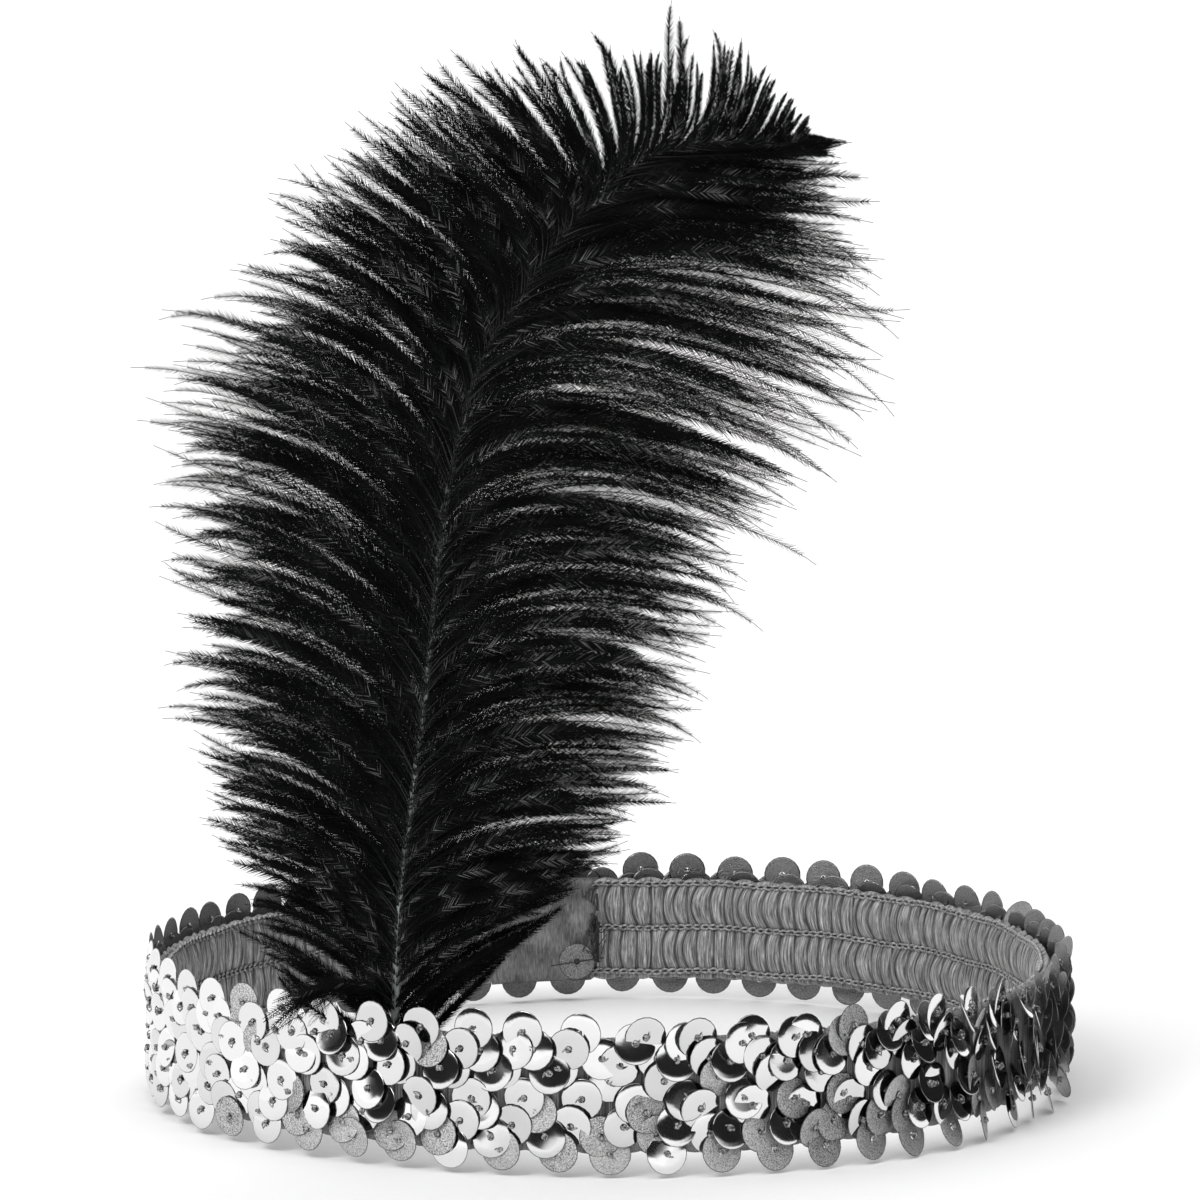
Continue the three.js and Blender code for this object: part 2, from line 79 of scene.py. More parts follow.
# The plan curve, walked by its length counterclockwise.
def plan_xy(angle):
    bulge = 1 + PLAN_BULGE_SHARE * np.cos(3 * (angle - PLAN_BULGE_TURN))
    x = PLAN_SHORT_RADIUS * np.cos(angle) * bulge
    y = PLAN_LONG_RADIUS * np.sin(angle) * bulge
    cos, sin = math.cos(PLAN_TURN), math.sin(PLAN_TURN)
    return np.stack([x * cos - y * sin, x * sin + y * cos], axis=-1)


_angles = np.linspace(0, TURN, 7201)
_plan = plan_xy(_angles)
_lengths = np.concatenate([[0], np.cumsum(np.linalg.norm(np.diff(_plan, axis=0), axis=1))])
PLAN_LENGTH = _lengths[-1]

# The part's origin is the middle of its whole box, so the plan is moved to where the band lies.
_low, _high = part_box("elastic_band")
_band_middle = np.array([(_low[0] + _high[0]) / 2, (_low[1] + _high[1]) / 2]) / MM
PLAN_SHIFT = _band_middle - (_plan.min(axis=0) + _plan.max(axis=0)) / 2


def band_frame(length):
    """The plan's point, direction and outward direction at lengths along it."""
    angle = np.interp(np.mod(length, PLAN_LENGTH), _lengths, _angles)
    step = 1e-4
    ahead = plan_xy(angle + step) - plan_xy(angle - step)
    ahead /= np.linalg.norm(ahead, axis=-1, keepdims=True)
    outward = np.stack([ahead[..., 1], -ahead[..., 0]], axis=-1)
    return plan_xy(angle) + PLAN_SHIFT, ahead, outward


def on_band(length, outward, height):
    """Points on the band: a length along it, a distance outward and a height."""
    length, outward, height = np.broadcast_arrays(length, outward, height)
    base, _, out = band_frame(length)
    return np.concatenate([base + out * outward[..., None], height[..., None]], axis=-1)


def length_at_x(x, front):
    """The length along the plan at which its front or back half is nearest to x."""
    half = _plan[:, 1] < 0 if front else _plan[:, 1] > 0
    miss = np.where(half, np.abs(_plan[:, 0] - x), np.inf)
    return _lengths[int(np.argmin(miss))]


SEAM_LENGTH = length_at_x(BACK_SEAM_X, front=False)
LEFT_RUN = (length_at_x(FRONT_MEETING_X, front=True) - SEAM_LENGTH) % PLAN_LENGTH
RIGHT_RUN = PLAN_LENGTH - LEFT_RUN


# Makes one Blender object from points in millimetres and faces, with values for its material.
def make_piece(name, points, faces, material, replaces=(), smooth=True, values=None):
    mesh = bpy.data.meshes.new(name)
    points = np.asarray(points, dtype=np.float32).reshape(-1, 3) * MM
    faces = np.asarray(faces, dtype=np.int32)
    corners = faces.shape[1]
    mesh.vertices.add(len(points))
    mesh.vertices.foreach_set("co", points.ravel())
    mesh.loops.add(faces.size)
    mesh.loops.foreach_set("vertex_index", faces.ravel())
    mesh.polygons.add(len(faces))
    mesh.polygons.foreach_set("loop_start", np.arange(0, faces.size, corners, dtype=np.int32))
    mesh.polygons.foreach_set("use_smooth", np.full(len(faces), smooth))
    for key, data in (values or {}).items():
        data = np.asarray(data, dtype=np.float32)
        kind, field = ("FLOAT", "value") if data.ndim == 1 else ("FLOAT_VECTOR", "vector")
        mesh.attributes.new(key, kind, "POINT").data.foreach_set(field, data.ravel())
    mesh.update(calc_edges=True)
    mesh.validate()
    mesh.materials.append(material)
    piece = bpy.data.objects.new(name, mesh)
    bpy.context.scene.collection.objects.link(piece)
    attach(piece, "root")
    if replaces:
        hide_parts(*replaces)
    return piece


def unit(vectors):
    return vectors / np.maximum(np.linalg.norm(vectors, axis=-1, keepdims=True), 1e-9)


def repeated(faces, points_each, copies):
    """The faces of one template, for many copies laid one after the other."""
    faces = np.asarray(faces)
    starts = np.arange(copies) * points_each
    return (faces[None] + starts[:, None, None]).reshape(-1, faces.shape[1])


def grid_faces(rows, columns, wrap_rows, wrap_columns):
    """Quads of a grid of points, numbered row by row."""
    r = np.arange(rows if wrap_rows else rows - 1)
    c = np.arange(columns if wrap_columns else columns - 1)
    r, c = np.meshgrid(r, c, indexing="ij")
    below, beside = (r + 1) % rows, (c + 1) % columns
    quads = [r * columns + c, r * columns + beside, below * columns + beside, below * columns + c]
    return np.stack(quads, axis=-1).reshape(-1, 4)


# Node materials
def new_material(name):
    material = bpy.data.materials.new(name)
    material.use_nodes = True
    nodes = material.node_tree.nodes
    return material, nodes, material.node_tree.links, nodes["Principled BSDF"]


def add_node(nodes, kind, **settings):
    node = nodes.new(kind)
    for key, value in settings.items():
        if key in node.inputs:
            node.inputs[key].default_value = value
        else:
            setattr(node, key, value)
    return node


def colour_ramp(nodes, stops):
    ramp = nodes.new("ShaderNodeValToRGB")
    elements = ramp.color_ramp.elements
    while len(elements) < len(stops):
        elements.new(0.5)
    for element, (place, grey) in zip(elements, stops):
        element.position = place
        colour = (grey, grey, grey) if isinstance(grey, float) else grey
        element.color = (*colour, 1)
    return ramp


def toned(nodes, links, value, stops):
    """The colour that a ramp gives for a value."""
    ramp = colour_ramp(nodes, stops)
    links.new(value, ramp.inputs["Fac"])
    return ramp.outputs["Color"]


def noise_on(nodes, links, place, stretch=None, **settings):
    """The strength of a noise at a place, which may be stretched first."""
    if stretch:
        mapping = add_node(nodes, "ShaderNodeMapping", Scale=stretch)
        links.new(place, mapping.inputs["Vector"])
        place = mapping.outputs["Vector"]
    noise = add_node(nodes, "ShaderNodeTexNoise", **settings)
    links.new(place, noise.inputs["Vector"])
    return noise.outputs["Fac"]


def combined(nodes, links, first, second, kind="ShaderNodeMath", operation="MULTIPLY"):
    node = add_node(nodes, kind, operation=operation)
    links.new(first, node.inputs[0])
    links.new(second, node.inputs[1])
    return node.outputs[0]


def add_bump(nodes, links, shader, height, strength, distance):
    bump = add_node(nodes, "ShaderNodeBump", Strength=strength, Distance=distance)
    links.new(height, bump.inputs["Height"])
    links.new(bump.outputs["Normal"], shader.inputs["Normal"])


def silver_material():
    material, nodes, links, shader = new_material("silver_film")
    shader.inputs["Metallic"].default_value = 1.0
    # shade is the film's own tone, times painted shade at the rims, in the holes and on the backs.
    shade = add_node(nodes, "ShaderNodeAttribute", attribute_name="shade").outputs["Fac"]
    tone = toned(nodes, links, shade, [(0.0, 0.05), (0.25, 0.36), (0.5, 0.66), (1.0, 0.86)])
    grain = add_node(nodes, "ShaderNodeAttribute", attribute_name="grain").outputs["Fac"]
    rough = add_node(nodes, "ShaderNodeMapRange", **{"To Min": 0.1, "To Max": 0.4})
    links.new(grain, rough.inputs["Value"])
    links.new(rough.outputs["Result"], shader.inputs["Roughness"])
    place = add_node(nodes, "ShaderNodeTexCoord").outputs["Object"]
    speckle = noise_on(nodes, links, place, Scale=5200.0, Detail=2.0)
    flecks = toned(nodes, links, speckle, [(0.38, 0.3), (0.5, 0.75), (0.6, 1.0)])
    flecked = add_node(nodes, "ShaderNodeMix", data_type="RGBA", blend_type="MULTIPLY")
    links.new(grain, flecked.inputs["Factor"])
    links.new(tone, flecked.inputs["A"])
    links.new(flecks, flecked.inputs["B"])
    links.new(flecked.outputs["Result"], shader.inputs["Base Color"])
    add_bump(nodes, links, shader, combined(nodes, links, speckle, grain), 1.0, 0.00025)
    return material


def fibre_material():
    """Gathered thread. fibre holds a place across and along the threads, and crown how far it stands out.
    Where crown is low the thread is painted darker: painted shade in the gaps between bundles and in the
    channels.
    """
    material, nodes, links, shader = new_material("gathered_thread")
    fibre = add_node(nodes, "ShaderNodeAttribute", attribute_name="fibre").outputs["Vector"]
    threads = noise_on(
        nodes, links, fibre, stretch=(9.0, 1.6, 5.0), Scale=1.0, Detail=3.0, Roughness=0.7,
    )
    tone = toned(nodes, links, threads, [(0.33, 0.05), (0.46, 0.22), (0.58, 0.46), (0.72, 0.95)])
    crown = add_node(nodes, "ShaderNodeAttribute", attribute_name="crown").outputs["Fac"]
    # Painted shade: the less the thread stands out, the darker it is.
    shadow = toned(nodes, links, crown, [(0.0, 0.2), (0.4, 0.85), (1.0, 1.0)])
    shaded = combined(nodes, links, tone, shadow, "ShaderNodeVectorMath")
    links.new(shaded, shader.inputs["Base Color"])
    shader.inputs["Roughness"].default_value = 0.5
    shader.inputs["Sheen Weight"].default_value = 0.2
    add_bump(nodes, links, shader, threads, 0.9, 0.00022)
    return material


def cloth_material():
    """The flat woven end of the band: fine upright threads, creased and a little stained."""
    material, nodes, links, shader = new_material("woven_end")
    place = add_node(nodes, "ShaderNodeTexCoord").outputs["Object"]
    weave = noise_on(nodes, links, place, stretch=(5200.0, 5200.0, 500.0), Scale=1.0, Detail=2.0)
    stain = noise_on(nodes, links, place, Scale=260.0, Detail=3.0)
    mixed = add_node(nodes, "ShaderNodeMath", operation="MULTIPLY_ADD")
    links.new(weave, mixed.inputs[0])
    mixed.inputs[1].default_value = 0.5
    half = add_node(nodes, "ShaderNodeMath", operation="MULTIPLY")
    links.new(stain, half.inputs[0])
    half.inputs[1].default_value = 0.5
    links.new(half.outputs["Value"], mixed.inputs[2])
    tone = toned(nodes, links, mixed.outputs["Value"], [(0.36, 0.05), (0.5, 0.14), (0.66, 0.27)])
    links.new(tone, shader.inputs["Base Color"])
    shader.inputs["Roughness"].default_value = 0.6
    add_bump(nodes, links, shader, mixed.outputs["Value"], 0.5, 0.0001)
    return material


def thread_material(name, dark, light, roughness):
    material, nodes, links, shader = new_material(name)
    place = add_node(nodes, "ShaderNodeTexCoord").outputs["Object"]
    noise = noise_on(nodes, links, place, Scale=2600.0, Detail=3.0)
    links.new(toned(nodes, links, noise, [(0.35, dark), (0.65, light)]), shader.inputs["Base Color"])
    shader.inputs["Roughness"].default_value = roughness
    return material


def feather_material():
    material, nodes, links, shader = new_material("black_barbs")
    shade = add_node(nodes, "ShaderNodeAttribute", attribute_name="shade").outputs["Fac"]
    # Black dye at the low end; the lighter greys are painted sheen on the barbules, and the stems' lighter
    # roots.
    tones = [(0.0, (0.0006, 0.0007, 0.0007)), (0.4, (0.006, 0.0068, 0.0069)), (0.8, 0.038), (1.0, 0.13)]
    links.new(toned(nodes, links, shade, tones), shader.inputs["Base Color"])
    shader.inputs["Roughness"].default_value = 0.55
    shader.inputs["Specular IOR Level"].default_value = 0.06
    return material


# Heights between which the pale horn turns dark.
QUILL_PALE_BELOW = 70.0
QUILL_DARK_ABOVE = 115.0


def quill_material():
    material, nodes, links, shader = new_material("pale_horn")
    place = add_node(nodes, "ShaderNodeTexCoord").outputs["Object"]
    noise = noise_on(nodes, links, place, stretch=(900.0, 900.0, 60.0), Scale=1.0, Detail=3.0)
    tone = toned(nodes, links, noise, [(0.3, (0.09, 0.105, 0.098)), (0.7, (0.28, 0.315, 0.295))])
    parts = add_node(nodes, "ShaderNodeSeparateXYZ")
    links.new(place, parts.inputs["Vector"])
    limits = {"From Min": QUILL_PALE_BELOW * MM, "From Max": QUILL_DARK_ABOVE * MM}
    height = add_node(nodes, "ShaderNodeMapRange", **limits)
    links.new(parts.outputs["Z"], height.inputs["Value"])
    fade = toned(nodes, links, height.outputs["Result"], [(0.0, 1.0), (1.0, 0.03)])
    faded = combined(nodes, links, tone, fade, "ShaderNodeVectorMath")
    links.new(faded, shader.inputs["Base Color"])
    shader.inputs["Roughness"].default_value = 0.4
    return material


SILVER = silver_material()
FIBRE = fibre_material()
WOVEN = cloth_material()
GREY_THREAD = thread_material("grey_thread", 0.12, 0.5, 0.45)
DARK_THREAD = thread_material("dark_thread", 0.005, 0.03, 0.5)
# The knots' thread: dark, with lighter patches that are painted glints.
GLINT_THREAD = thread_material("clear_thread", 0.01, 0.5, 0.12)
FEATHER = feather_material()
HORN = quill_material()


# The elastic band: padded ribs of gathered thread bundles, bowed between the stitched channels.
BUNDLE_WIDTHS = (1.1, 2.7)
BUNDLE_SHARES = np.array([0.0, 0.07, 0.25, 0.5, 0.75, 0.93])
BUNDLE_BOW = (-0.3, 1.1)
ROWS_PER_RIB = 9
CHANNEL_HALF_WIDTH = 0.45
OUTSIDE_ROWS = 4
PUCKER_WIDTHS = (2.2, 4.2)
PUCKER_HEIGHT = 0.6
# How far the gathers stop short of the band's lower and upper edge.
HEM_TRIMS = (0.5, 1.4)


def cut_run(total, widths):
    """The ends of pieces of random width that fill a length."""
    pieces = rng.uniform(*widths, size=int(total / np.mean(widths)))
    ends = np.concatenate([[0], np.cumsum(pieces)])
    return ends * total / ends[-1]


def make_tape():
    ends = cut_run(PLAN_LENGTH, BUNDLE_WIDTHS)
    count = len(ends) - 1
    along = (ends[:-1, None] + np.diff(ends)[:, None] * BUNDLE_SHARES).ravel()
    share = np.tile(BUNDLE_SHARES, count)
    bundle = np.repeat(np.arange(count), len(BUNDLE_SHARES))
    crown = 1 - np.abs(2 * share - 1) ** 3
    fullness = rng.uniform(0.8, 1.1, (2, count))[:, bundle]
    bow = rng.uniform(*BUNDLE_BOW, (2, count + 1))
    bow[:, -1] = bow[:, 0]
    bow = np.stack([np.interp(along, ends, rib_bow) for rib_bow in bow])
    rows = []

    # hollow is how far the thread stands out there; the material paints shade where it is low.
    def row(rib_share, rib, height, outward, sideways=0.0, hollow=0.0):
        points = on_band(SEAM_LENGTH + along + sideways, outward, height)
        across = bundle * 3.7 + share
        fibre = np.stack([across, np.full_like(share, rib_share), np.full_like(share, rib)], axis=-1)
        rows.append((points, fibre, np.broadcast_to(hollow, share.shape)))

    def pucker():
        edges = cut_run(PLAN_LENGTH, PUCKER_WIDTHS)
        phase = np.interp(along, edges, np.arange(len(edges)))
        height = rng.uniform(0.45, 1.0, len(edges))[phase.astype(int) % len(edges)]
        return PUCKER_HEIGHT * height * np.abs(np.sin(phase * math.pi)) ** 0.7

    bottom_pucker, top_pucker = pucker(), pucker()
    low_hem, high_hem = BAND_BOTTOM + HEM_TRIMS[0], BAND_TOP - HEM_TRIMS[1]
    row(0.0, 0, low_hem - 0.8 * bottom_pucker, -0.4 * BAND_THICKNESS, hollow=0.3)
    row(0.1, 0, low_hem + 0.4 - 0.4 * bottom_pucker, -BAND_THICKNESS - 0.2 * crown, hollow=0.5 * crown)
    for rib in (0, 1):
        low = CHANNELS[rib] + CHANNEL_HALF_WIDTH
        high = CHANNELS[rib + 1] - CHANNEL_HALF_WIDTH
        row(0.0, rib, CHANNELS[rib], -BAND_THICKNESS + 0.15, hollow=0.1)
        for rib_share in np.linspace(0, 1, ROWS_PER_RIB):
            bulge = math.sin(math.pi * min(max(rib_share, 0.02), 0.98))
            narrow = crown ** (1 + 2.5 * (1 - bulge))
            depth = RIB_DEPTH * bulge**0.55 * (0.35 + 0.65 * narrow) * fullness[rib]
            row(
                rib_share, rib + 1, low + (high - low) * rib_share, -BAND_THICKNESS - depth,
                bow[rib] * (1 - (2 * rib_share - 1) ** 2), narrow,
            )
    row(0.0, 0, CHANNELS[2], -BAND_THICKNESS + 0.15, hollow=0.1)
    row(0.9, 0, high_hem - 0.4 + 0.4 * top_pucker, -BAND_THICKNESS - 0.2 * crown, hollow=0.5 * crown)
    row(1.0, 0, high_hem + top_pucker, -0.4 * BAND_THICKNESS, hollow=0.3)
    for rib_share in np.linspace(0.95, 0.05, OUTSIDE_ROWS):
        row(rib_share, 3, low_hem + (high_hem - low_hem) * rib_share, -0.1 + 0.12 * crown, hollow=crown)
    points, fibre, hollow = (np.stack(part) for part in zip(*rows))
    faces = grid_faces(len(rows), len(along), True, True)
    return make_piece(
        "gathered_band", points, faces[:, ::-1], FIBRE, replaces=("elastic_band",),
        values={"fibre": fibre.reshape(-1, 3), "crown": hollow.ravel()},
    )


# A thread through control points, as a tube of few sides. Gives points and quads.
def tube_template(path, radius, sides):
    path = np.asarray(path, dtype=float)
    ahead = np.gradient(path, axis=0)
    ahead /= np.linalg.norm(ahead, axis=1, keepdims=True)
    up = np.array([0.0, 0.0, 1.0])
    across = np.cross(ahead, up)
    across /= np.linalg.norm(across, axis=1, keepdims=True)
    over = np.cross(across, ahead)
    angle = np.arange(sides) / sides * TURN
    ring = np.cos(angle)[None, :, None] * across[:, None] + np.sin(angle)[None, :, None] * over[:, None]
    radius = np.broadcast_to(radius, (len(path),))
    points = path[:, None] + ring * radius[:, None, None]
    return points.reshape(-1, 3), grid_faces(len(path), sides, False, True)


def joined(parts):
    """Points and faces of several templates as one."""
    starts = np.cumsum([0] + [len(points) for points, _ in parts[:-1]])
    faces = [faces + start for (_, faces), start in zip(parts, starts)]
    return np.concatenate([points for points, _ in parts]), np.concatenate(faces)


# Chain stitch along the three channels: each stitch is two strands that cross at its end.
STITCH_PITCH = 1.3
STITCH_HALF_WIDTH = 0.27
STITCH_RADIUS = 0.2
STITCH_SWELL = (0.5, 0.9, 1.0, 1.0, 0.9, 0.5)
STITCH_REACH = (-0.1, 1.15)
# How far a strand stands off the channel at its start, and how much higher its end lies on the next one.
STITCH_OFF = 0.1
STITCH_CLIMB = 0.35
CHANNEL_WANDER = 0.15
WANDER_TURNS = 0.31
STITCH_JITTER = 0.03


def make_chain_stitches():
    share = np.linspace(*STITCH_REACH, len(STITCH_SWELL))
    swell = np.sin(np.clip(share, 0, 1) * math.pi)
    radius = STITCH_RADIUS * np.array(STITCH_SWELL)
    strands = []
    for side in (-1, 1):
        across = side * STITCH_HALF_WIDTH * (0.25 + swell)
        off = STITCH_OFF + STITCH_CLIMB * np.clip(share, 0, 1)
        path = np.stack([share * STITCH_PITCH, across, off], axis=-1)
        strands.append(tube_template(path, radius, 5))
    template, faces = joined(strands)
    count = int(PLAN_LENGTH / STITCH_PITCH)
    all_points = []
    for height in CHANNELS:
        start = SEAM_LENGTH + np.arange(count) / count * PLAN_LENGTH
        wander = CHANNEL_WANDER * np.sin(start * WANDER_TURNS) + rng.normal(0, STITCH_JITTER, count)
        along = start[:, None] + template[None, :, 0]
        up = height + wander[:, None] + template[None, :, 1]
        all_points.append(on_band(along, -BAND_THICKNESS - template[None, :, 2], up))
    points = np.concatenate(all_points)
    faces = repeated(faces, len(template), len(CHANNELS) * count)
    make_piece("chain_stitches", points, faces, GREY_THREAD)


# The sequins: flat discs on two strings that are sewn in zigzags, lapped towards the front.
ZIGZAG_PERIOD = 7.3
DISCS_PER_PERIOD = 5
STRINGS = (
    {"middle": 16.6, "swing": 3.4, "phase": 0.0},
    {"middle": 7.2, "swing": -4.2, "phase": 0.45},
)
HOLE_RADIUS = 0.5
DISC_THICKNESS = 0.12
DISC_SIDES = 20
# The first and the last disc of a half reach this far past its ends.
END_OVERLAP = 1.5
# How far a disc's tucked edge lies outside the band, and what the discs under it may add.
TUCKED_EDGE_OUT = 0.55
STACKING = 0.25
# The share of a tilted disc's reach by which its centre moves outward.
LEAN_SHARE = 0.72
PLACE_JITTER = 0.35
# A disc turns with its string's rise, by this angle and a spread in radians.
RISE_TURN = math.radians(28)
TURN_JITTER = 0.2
TILT_RANGE = (0.8, 1.2)
TILT_SCATTER = 0.6
# How a disc is dished and bent, per millimetre squared.
DISC_CUP = 0.006
DISC_WARP = 0.012
# A disc's outline from its hole to its rim and back: how far out, its height as a share of the thickness, and
# how bright it is. 1 is the film's own brightness, and the lower values at the rim are painted shade, a dark
# outline round the disc's edge. Below 0 the brightness is the back's.
DISC_PROFILE = (
    {"radius": HOLE_RADIUS, "rise": 0.0, "film_and_shade": 1.0},
    {"radius": 1.6, "rise": 0.0, "film_and_shade": 1.0},
    {"radius": SEQUIN_RADIUS - 0.15, "rise": 0.0, "film_and_shade": 1.0},
    {"radius": SEQUIN_RADIUS - 0.08, "rise": -1 / 6, "film_and_shade": 0.3},
    {"radius": SEQUIN_RADIUS, "rise": -0.5, "film_and_shade": 0.05},
    {"radius": SEQUIN_RADIUS - 0.05, "rise": -1.0, "film_and_shade": 0.05},
    {"radius": SEQUIN_RADIUS - 0.22, "rise": -1.0, "film_and_shade": -1.0},
    {"radius": HOLE_RADIUS, "rise": -1.0, "film_and_shade": -1.0},
)
# The hole's wall is painted dark: painted shade inside the hole.
HOLE_WALL = (
    {"radius": HOLE_RADIUS, "rise": -1.0, "film_and_shade": 0.1},
    {"radius": HOLE_RADIUS, "rise": 0.0, "film_and_shade": 0.1},
)
# The brightness of the discs' backs, by the direction that the band faces there: painted shade, near black on
# the discs at the front, so that the gaps under their lifted edges and their mirror images in the discs below
# read dark, and grey elsewhere.
BACK_SHADES = (
    (-180, 0.25), (-135, 0.2), (-125, 0.02), (-45, 0.02), (-20, 0.25), (40, 0.25), (70, 0.17), (180, 0.17),
)
# The share of grainy grey discs at the front, by height, and elsewhere, and how the two kinds look.
FRONT_FACINGS = (-130, -20)
GRAINY_CHANCE = ((3.0, 0.85), (6.0, 0.6), (8.5, 0.2), (13.0, 0.05))
GRAINY_ELSEWHERE = 0.06
GRAIN_RANGE = (0.6, 1.0)
BACK_GRAIN = 0.6
GRAINY_SHADES = (0.4, 0.65)
SMOOTH_SHADES = (0.5, 1.0)
# How the discs lie, by the compass direction that the band faces there, in degrees: tilt lifts a disc's
# free edge, nod turns its face upwards, and scatter spreads both.
DISC_LIE = (
    {"facing": -180, "tilt": -10.0, "nod": 0.0, "scatter": 2.5},
    {"facing": -140, "tilt": -6.0, "nod": 0.0, "scatter": 2.5},
    {"facing": -122, "tilt": 8.0, "nod": 3.5, "scatter": 5.0},
    {"facing": -100, "tilt": 11.0, "nod": 3.5, "scatter": 5.0},
    {"facing": -60, "tilt": 12.0, "nod": 3.0, "scatter": 5.0},
    {"facing": -50, "tilt": 16.0, "nod": 7.0, "scatter": 5.0},
    {"facing": -30, "tilt": 21.0, "nod": 7.0, "scatter": 6.0},
    {"facing": -15, "tilt": 28.0, "nod": 2.0, "scatter": 8.0},
    {"facing": 10, "tilt": 26.0, "nod": 1.0, "scatter": 8.0},
    {"facing": 35, "tilt": 12.0, "nod": 2.0, "scatter": 5.0},
    {"facing": 60, "tilt": 10.0, "nod": 2.0, "scatter": 5.0},
    {"facing": 150, "tilt": 7.0, "nod": 2.0, "scatter": 4.0},
    {"facing": 180, "tilt": 4.0, "nod": 0.0, "scatter": 2.5},
)


def disc_template():
    """One disc with its hole: x and y across it, z out of it. Also how bright it is at each point,
    with painted shade at the rim and on the hole's wall.
    """
    rings = (*DISC_PROFILE, *HOLE_WALL)
    angle = np.arange(DISC_SIDES) / DISC_SIDES * TURN
    radius, rise, film_and_shade = (
        np.repeat([ring[key] for ring in rings], DISC_SIDES) for key in ("radius", "rise", "film_and_shade")
    )
    angles = np.tile(angle, len(rings))
    points = np.stack([radius * np.cos(angles), radius * np.sin(angles), rise * DISC_THICKNESS], axis=-1)
    surface = grid_faces(len(DISC_PROFILE), DISC_SIDES, False, True)
    inside = grid_faces(len(HOLE_WALL), DISC_SIDES, False, True) + len(DISC_PROFILE) * DISC_SIDES
    return points, np.concatenate([surface, inside])[:, ::-1], film_and_shade


def disc_places(run):
    """Where the discs of one half go: along from the seam, height, and the string's rise there."""
    found = []
    for string in STRINGS:
        steps = int(run / ZIGZAG_PERIOD * DISCS_PER_PERIOD)
        first = SEQUIN_RADIUS - END_OVERLAP
        along = first + np.arange(steps) * (run - 2 * first) / (steps - 1)
        phase = np.mod(along / ZIGZAG_PERIOD + string["phase"], 1.0)
        wave = 1 - 4 * np.abs(phase - np.round(phase))
        rise = np.where(phase < 0.5, -1.0, 1.0) * np.sign(string["swing"])
        height = string["middle"] + string["swing"] * wave
        found.append(np.stack([along, height, rise], axis=-1))
    places = np.concatenate(found)
    places[:, :2] += rng.uniform(-PLACE_JITTER, PLACE_JITTER, (len(places), 2))
    places[:, 1] = np.clip(places[:, 1], SEQUIN_RADIUS, RING_HEIGHT - SEQUIN_RADIUS)
    return places


def make_sequins(name, run, direction, node):
    template, template_faces, film_and_shade = disc_template()
    places = disc_places(run)
    count = len(places)
    length = SEAM_LENGTH + direction * places[:, 0]
    base, ahead, outward = band_frame(length)
    facing = np.degrees(np.arctan2(outward[:, 1], outward[:, 0]))
    facings = [row["facing"] for row in DISC_LIE]
    tilt, nod, scatter = (
        np.radians(np.interp(facing, facings, [row[key] for row in DISC_LIE]))
        for key in ("tilt", "nod", "scatter")
    )
    tilt = tilt * rng.uniform(*TILT_RANGE, count) + rng.normal(0, TILT_SCATTER, count) * scatter
    nod = nod + rng.normal(0, 1, count) * scatter

    e_along = np.concatenate([ahead * direction, np.zeros((count, 1))], axis=1)
    e_out = np.concatenate([outward, np.zeros((count, 1))], axis=1)
    e_up = np.array([0.0, 0.0, 1.0])
    turn = places[:, 2] * RISE_TURN + rng.normal(0, TURN_JITTER, count)
    free = e_along * np.cos(turn)[:, None] + e_up * np.sin(turn)[:, None]
    # The face's direction: away from the lifted edge, and upwards by the nod.
    normal = unit(e_out - free * np.tan(tilt)[:, None] + e_up * np.tan(nod)[:, None])
    lifted = unit(free - normal * np.sum(free * normal, axis=1)[:, None])
    beside = np.cross(normal, lifted)

    lean = np.arccos(np.clip(np.sum(normal * e_out, axis=1), -1, 1))
    centre_out = TUCKED_EDGE_OUT + SEQUIN_RADIUS * np.sin(lean) * LEAN_SHARE + STACKING * rng.random(count)
    centre = np.concatenate([base + outward * centre_out[:, None], places[:, 1:2]], axis=1)
    warp = rng.normal(0, DISC_WARP, (count, 3))
    x, y, z = template.T
    bent = z - DISC_CUP * (x**2 + y**2) + warp[:, :1] * x**2 + warp[:, 1:2] * x * y + warp[:, 2:] * y**2
    points = (
        centre[:, None]
        + lifted[:, None] * x[None, :, None]
        + beside[:, None] * y[None, :, None]
        + normal[:, None] * bent[..., None]
    )
    in_front = (facing > FRONT_FACINGS[0]) & (facing < FRONT_FACINGS[1])
    chance = np.where(in_front, np.interp(places[:, 1], *zip(*GRAINY_CHANCE)), GRAINY_ELSEWHERE)
    grain = np.where(rng.random(count) < chance, rng.uniform(*GRAIN_RANGE, count), 0.0)
    front_shade = np.where(grain > 0, rng.uniform(*GRAINY_SHADES, count), rng.uniform(*SMOOTH_SHADES, count))
    # The front's own tone times the painted dark outline at the rim, and the painted shade of the backs.
    back_shade = np.interp(facing, *zip(*BACK_SHADES))
    shade = np.where(film_and_shade < 0, back_shade[:, None], front_shade[:, None] * film_and_shade)
    grain = np.where(film_and_shade < 0, BACK_GRAIN, grain[:, None])
    faces = repeated(template_faces, len(template), count)
    make_piece(
        name, points, faces, SILVER, replaces=(node,),
        values={"grain": grain.ravel(), "shade": shade.ravel()},
    )
    return {"centre": centre, "free": lifted, "beside": beside, "normal": normal}


# Knots at the holes, each with a thread that runs back to the disc before it. Paths are on a disc, to its
# free edge, beside that and out of it.
KNOT_LOOP_RADIUS = 0.27
KNOT_TURN = 1.6 * math.pi
KNOT_OUT = 0.16
KNOT_TWIST = 0.12
KNOT_THREAD_RADIUS = 0.21
STRAND_PATH = (
    (0.0, 0.1, 0.3), (-0.225, 0.2, 0.42), (-0.45, 0.1, 0.4), (-0.675, -0.2, 0.25), (-0.9, -0.5, -0.1),
)
STRAND_RADIUS = 0.1
BACK_PATH = ((-0.3, -0.2, -0.2), (-0.2 / 3, -0.1 / 3, -0.5), (0.5 / 3, 0.4 / 3, -0.45), (0.4, 0.3, -0.2))
BACK_RADIUS = 0.16
KNOT_SPIN = 0.9


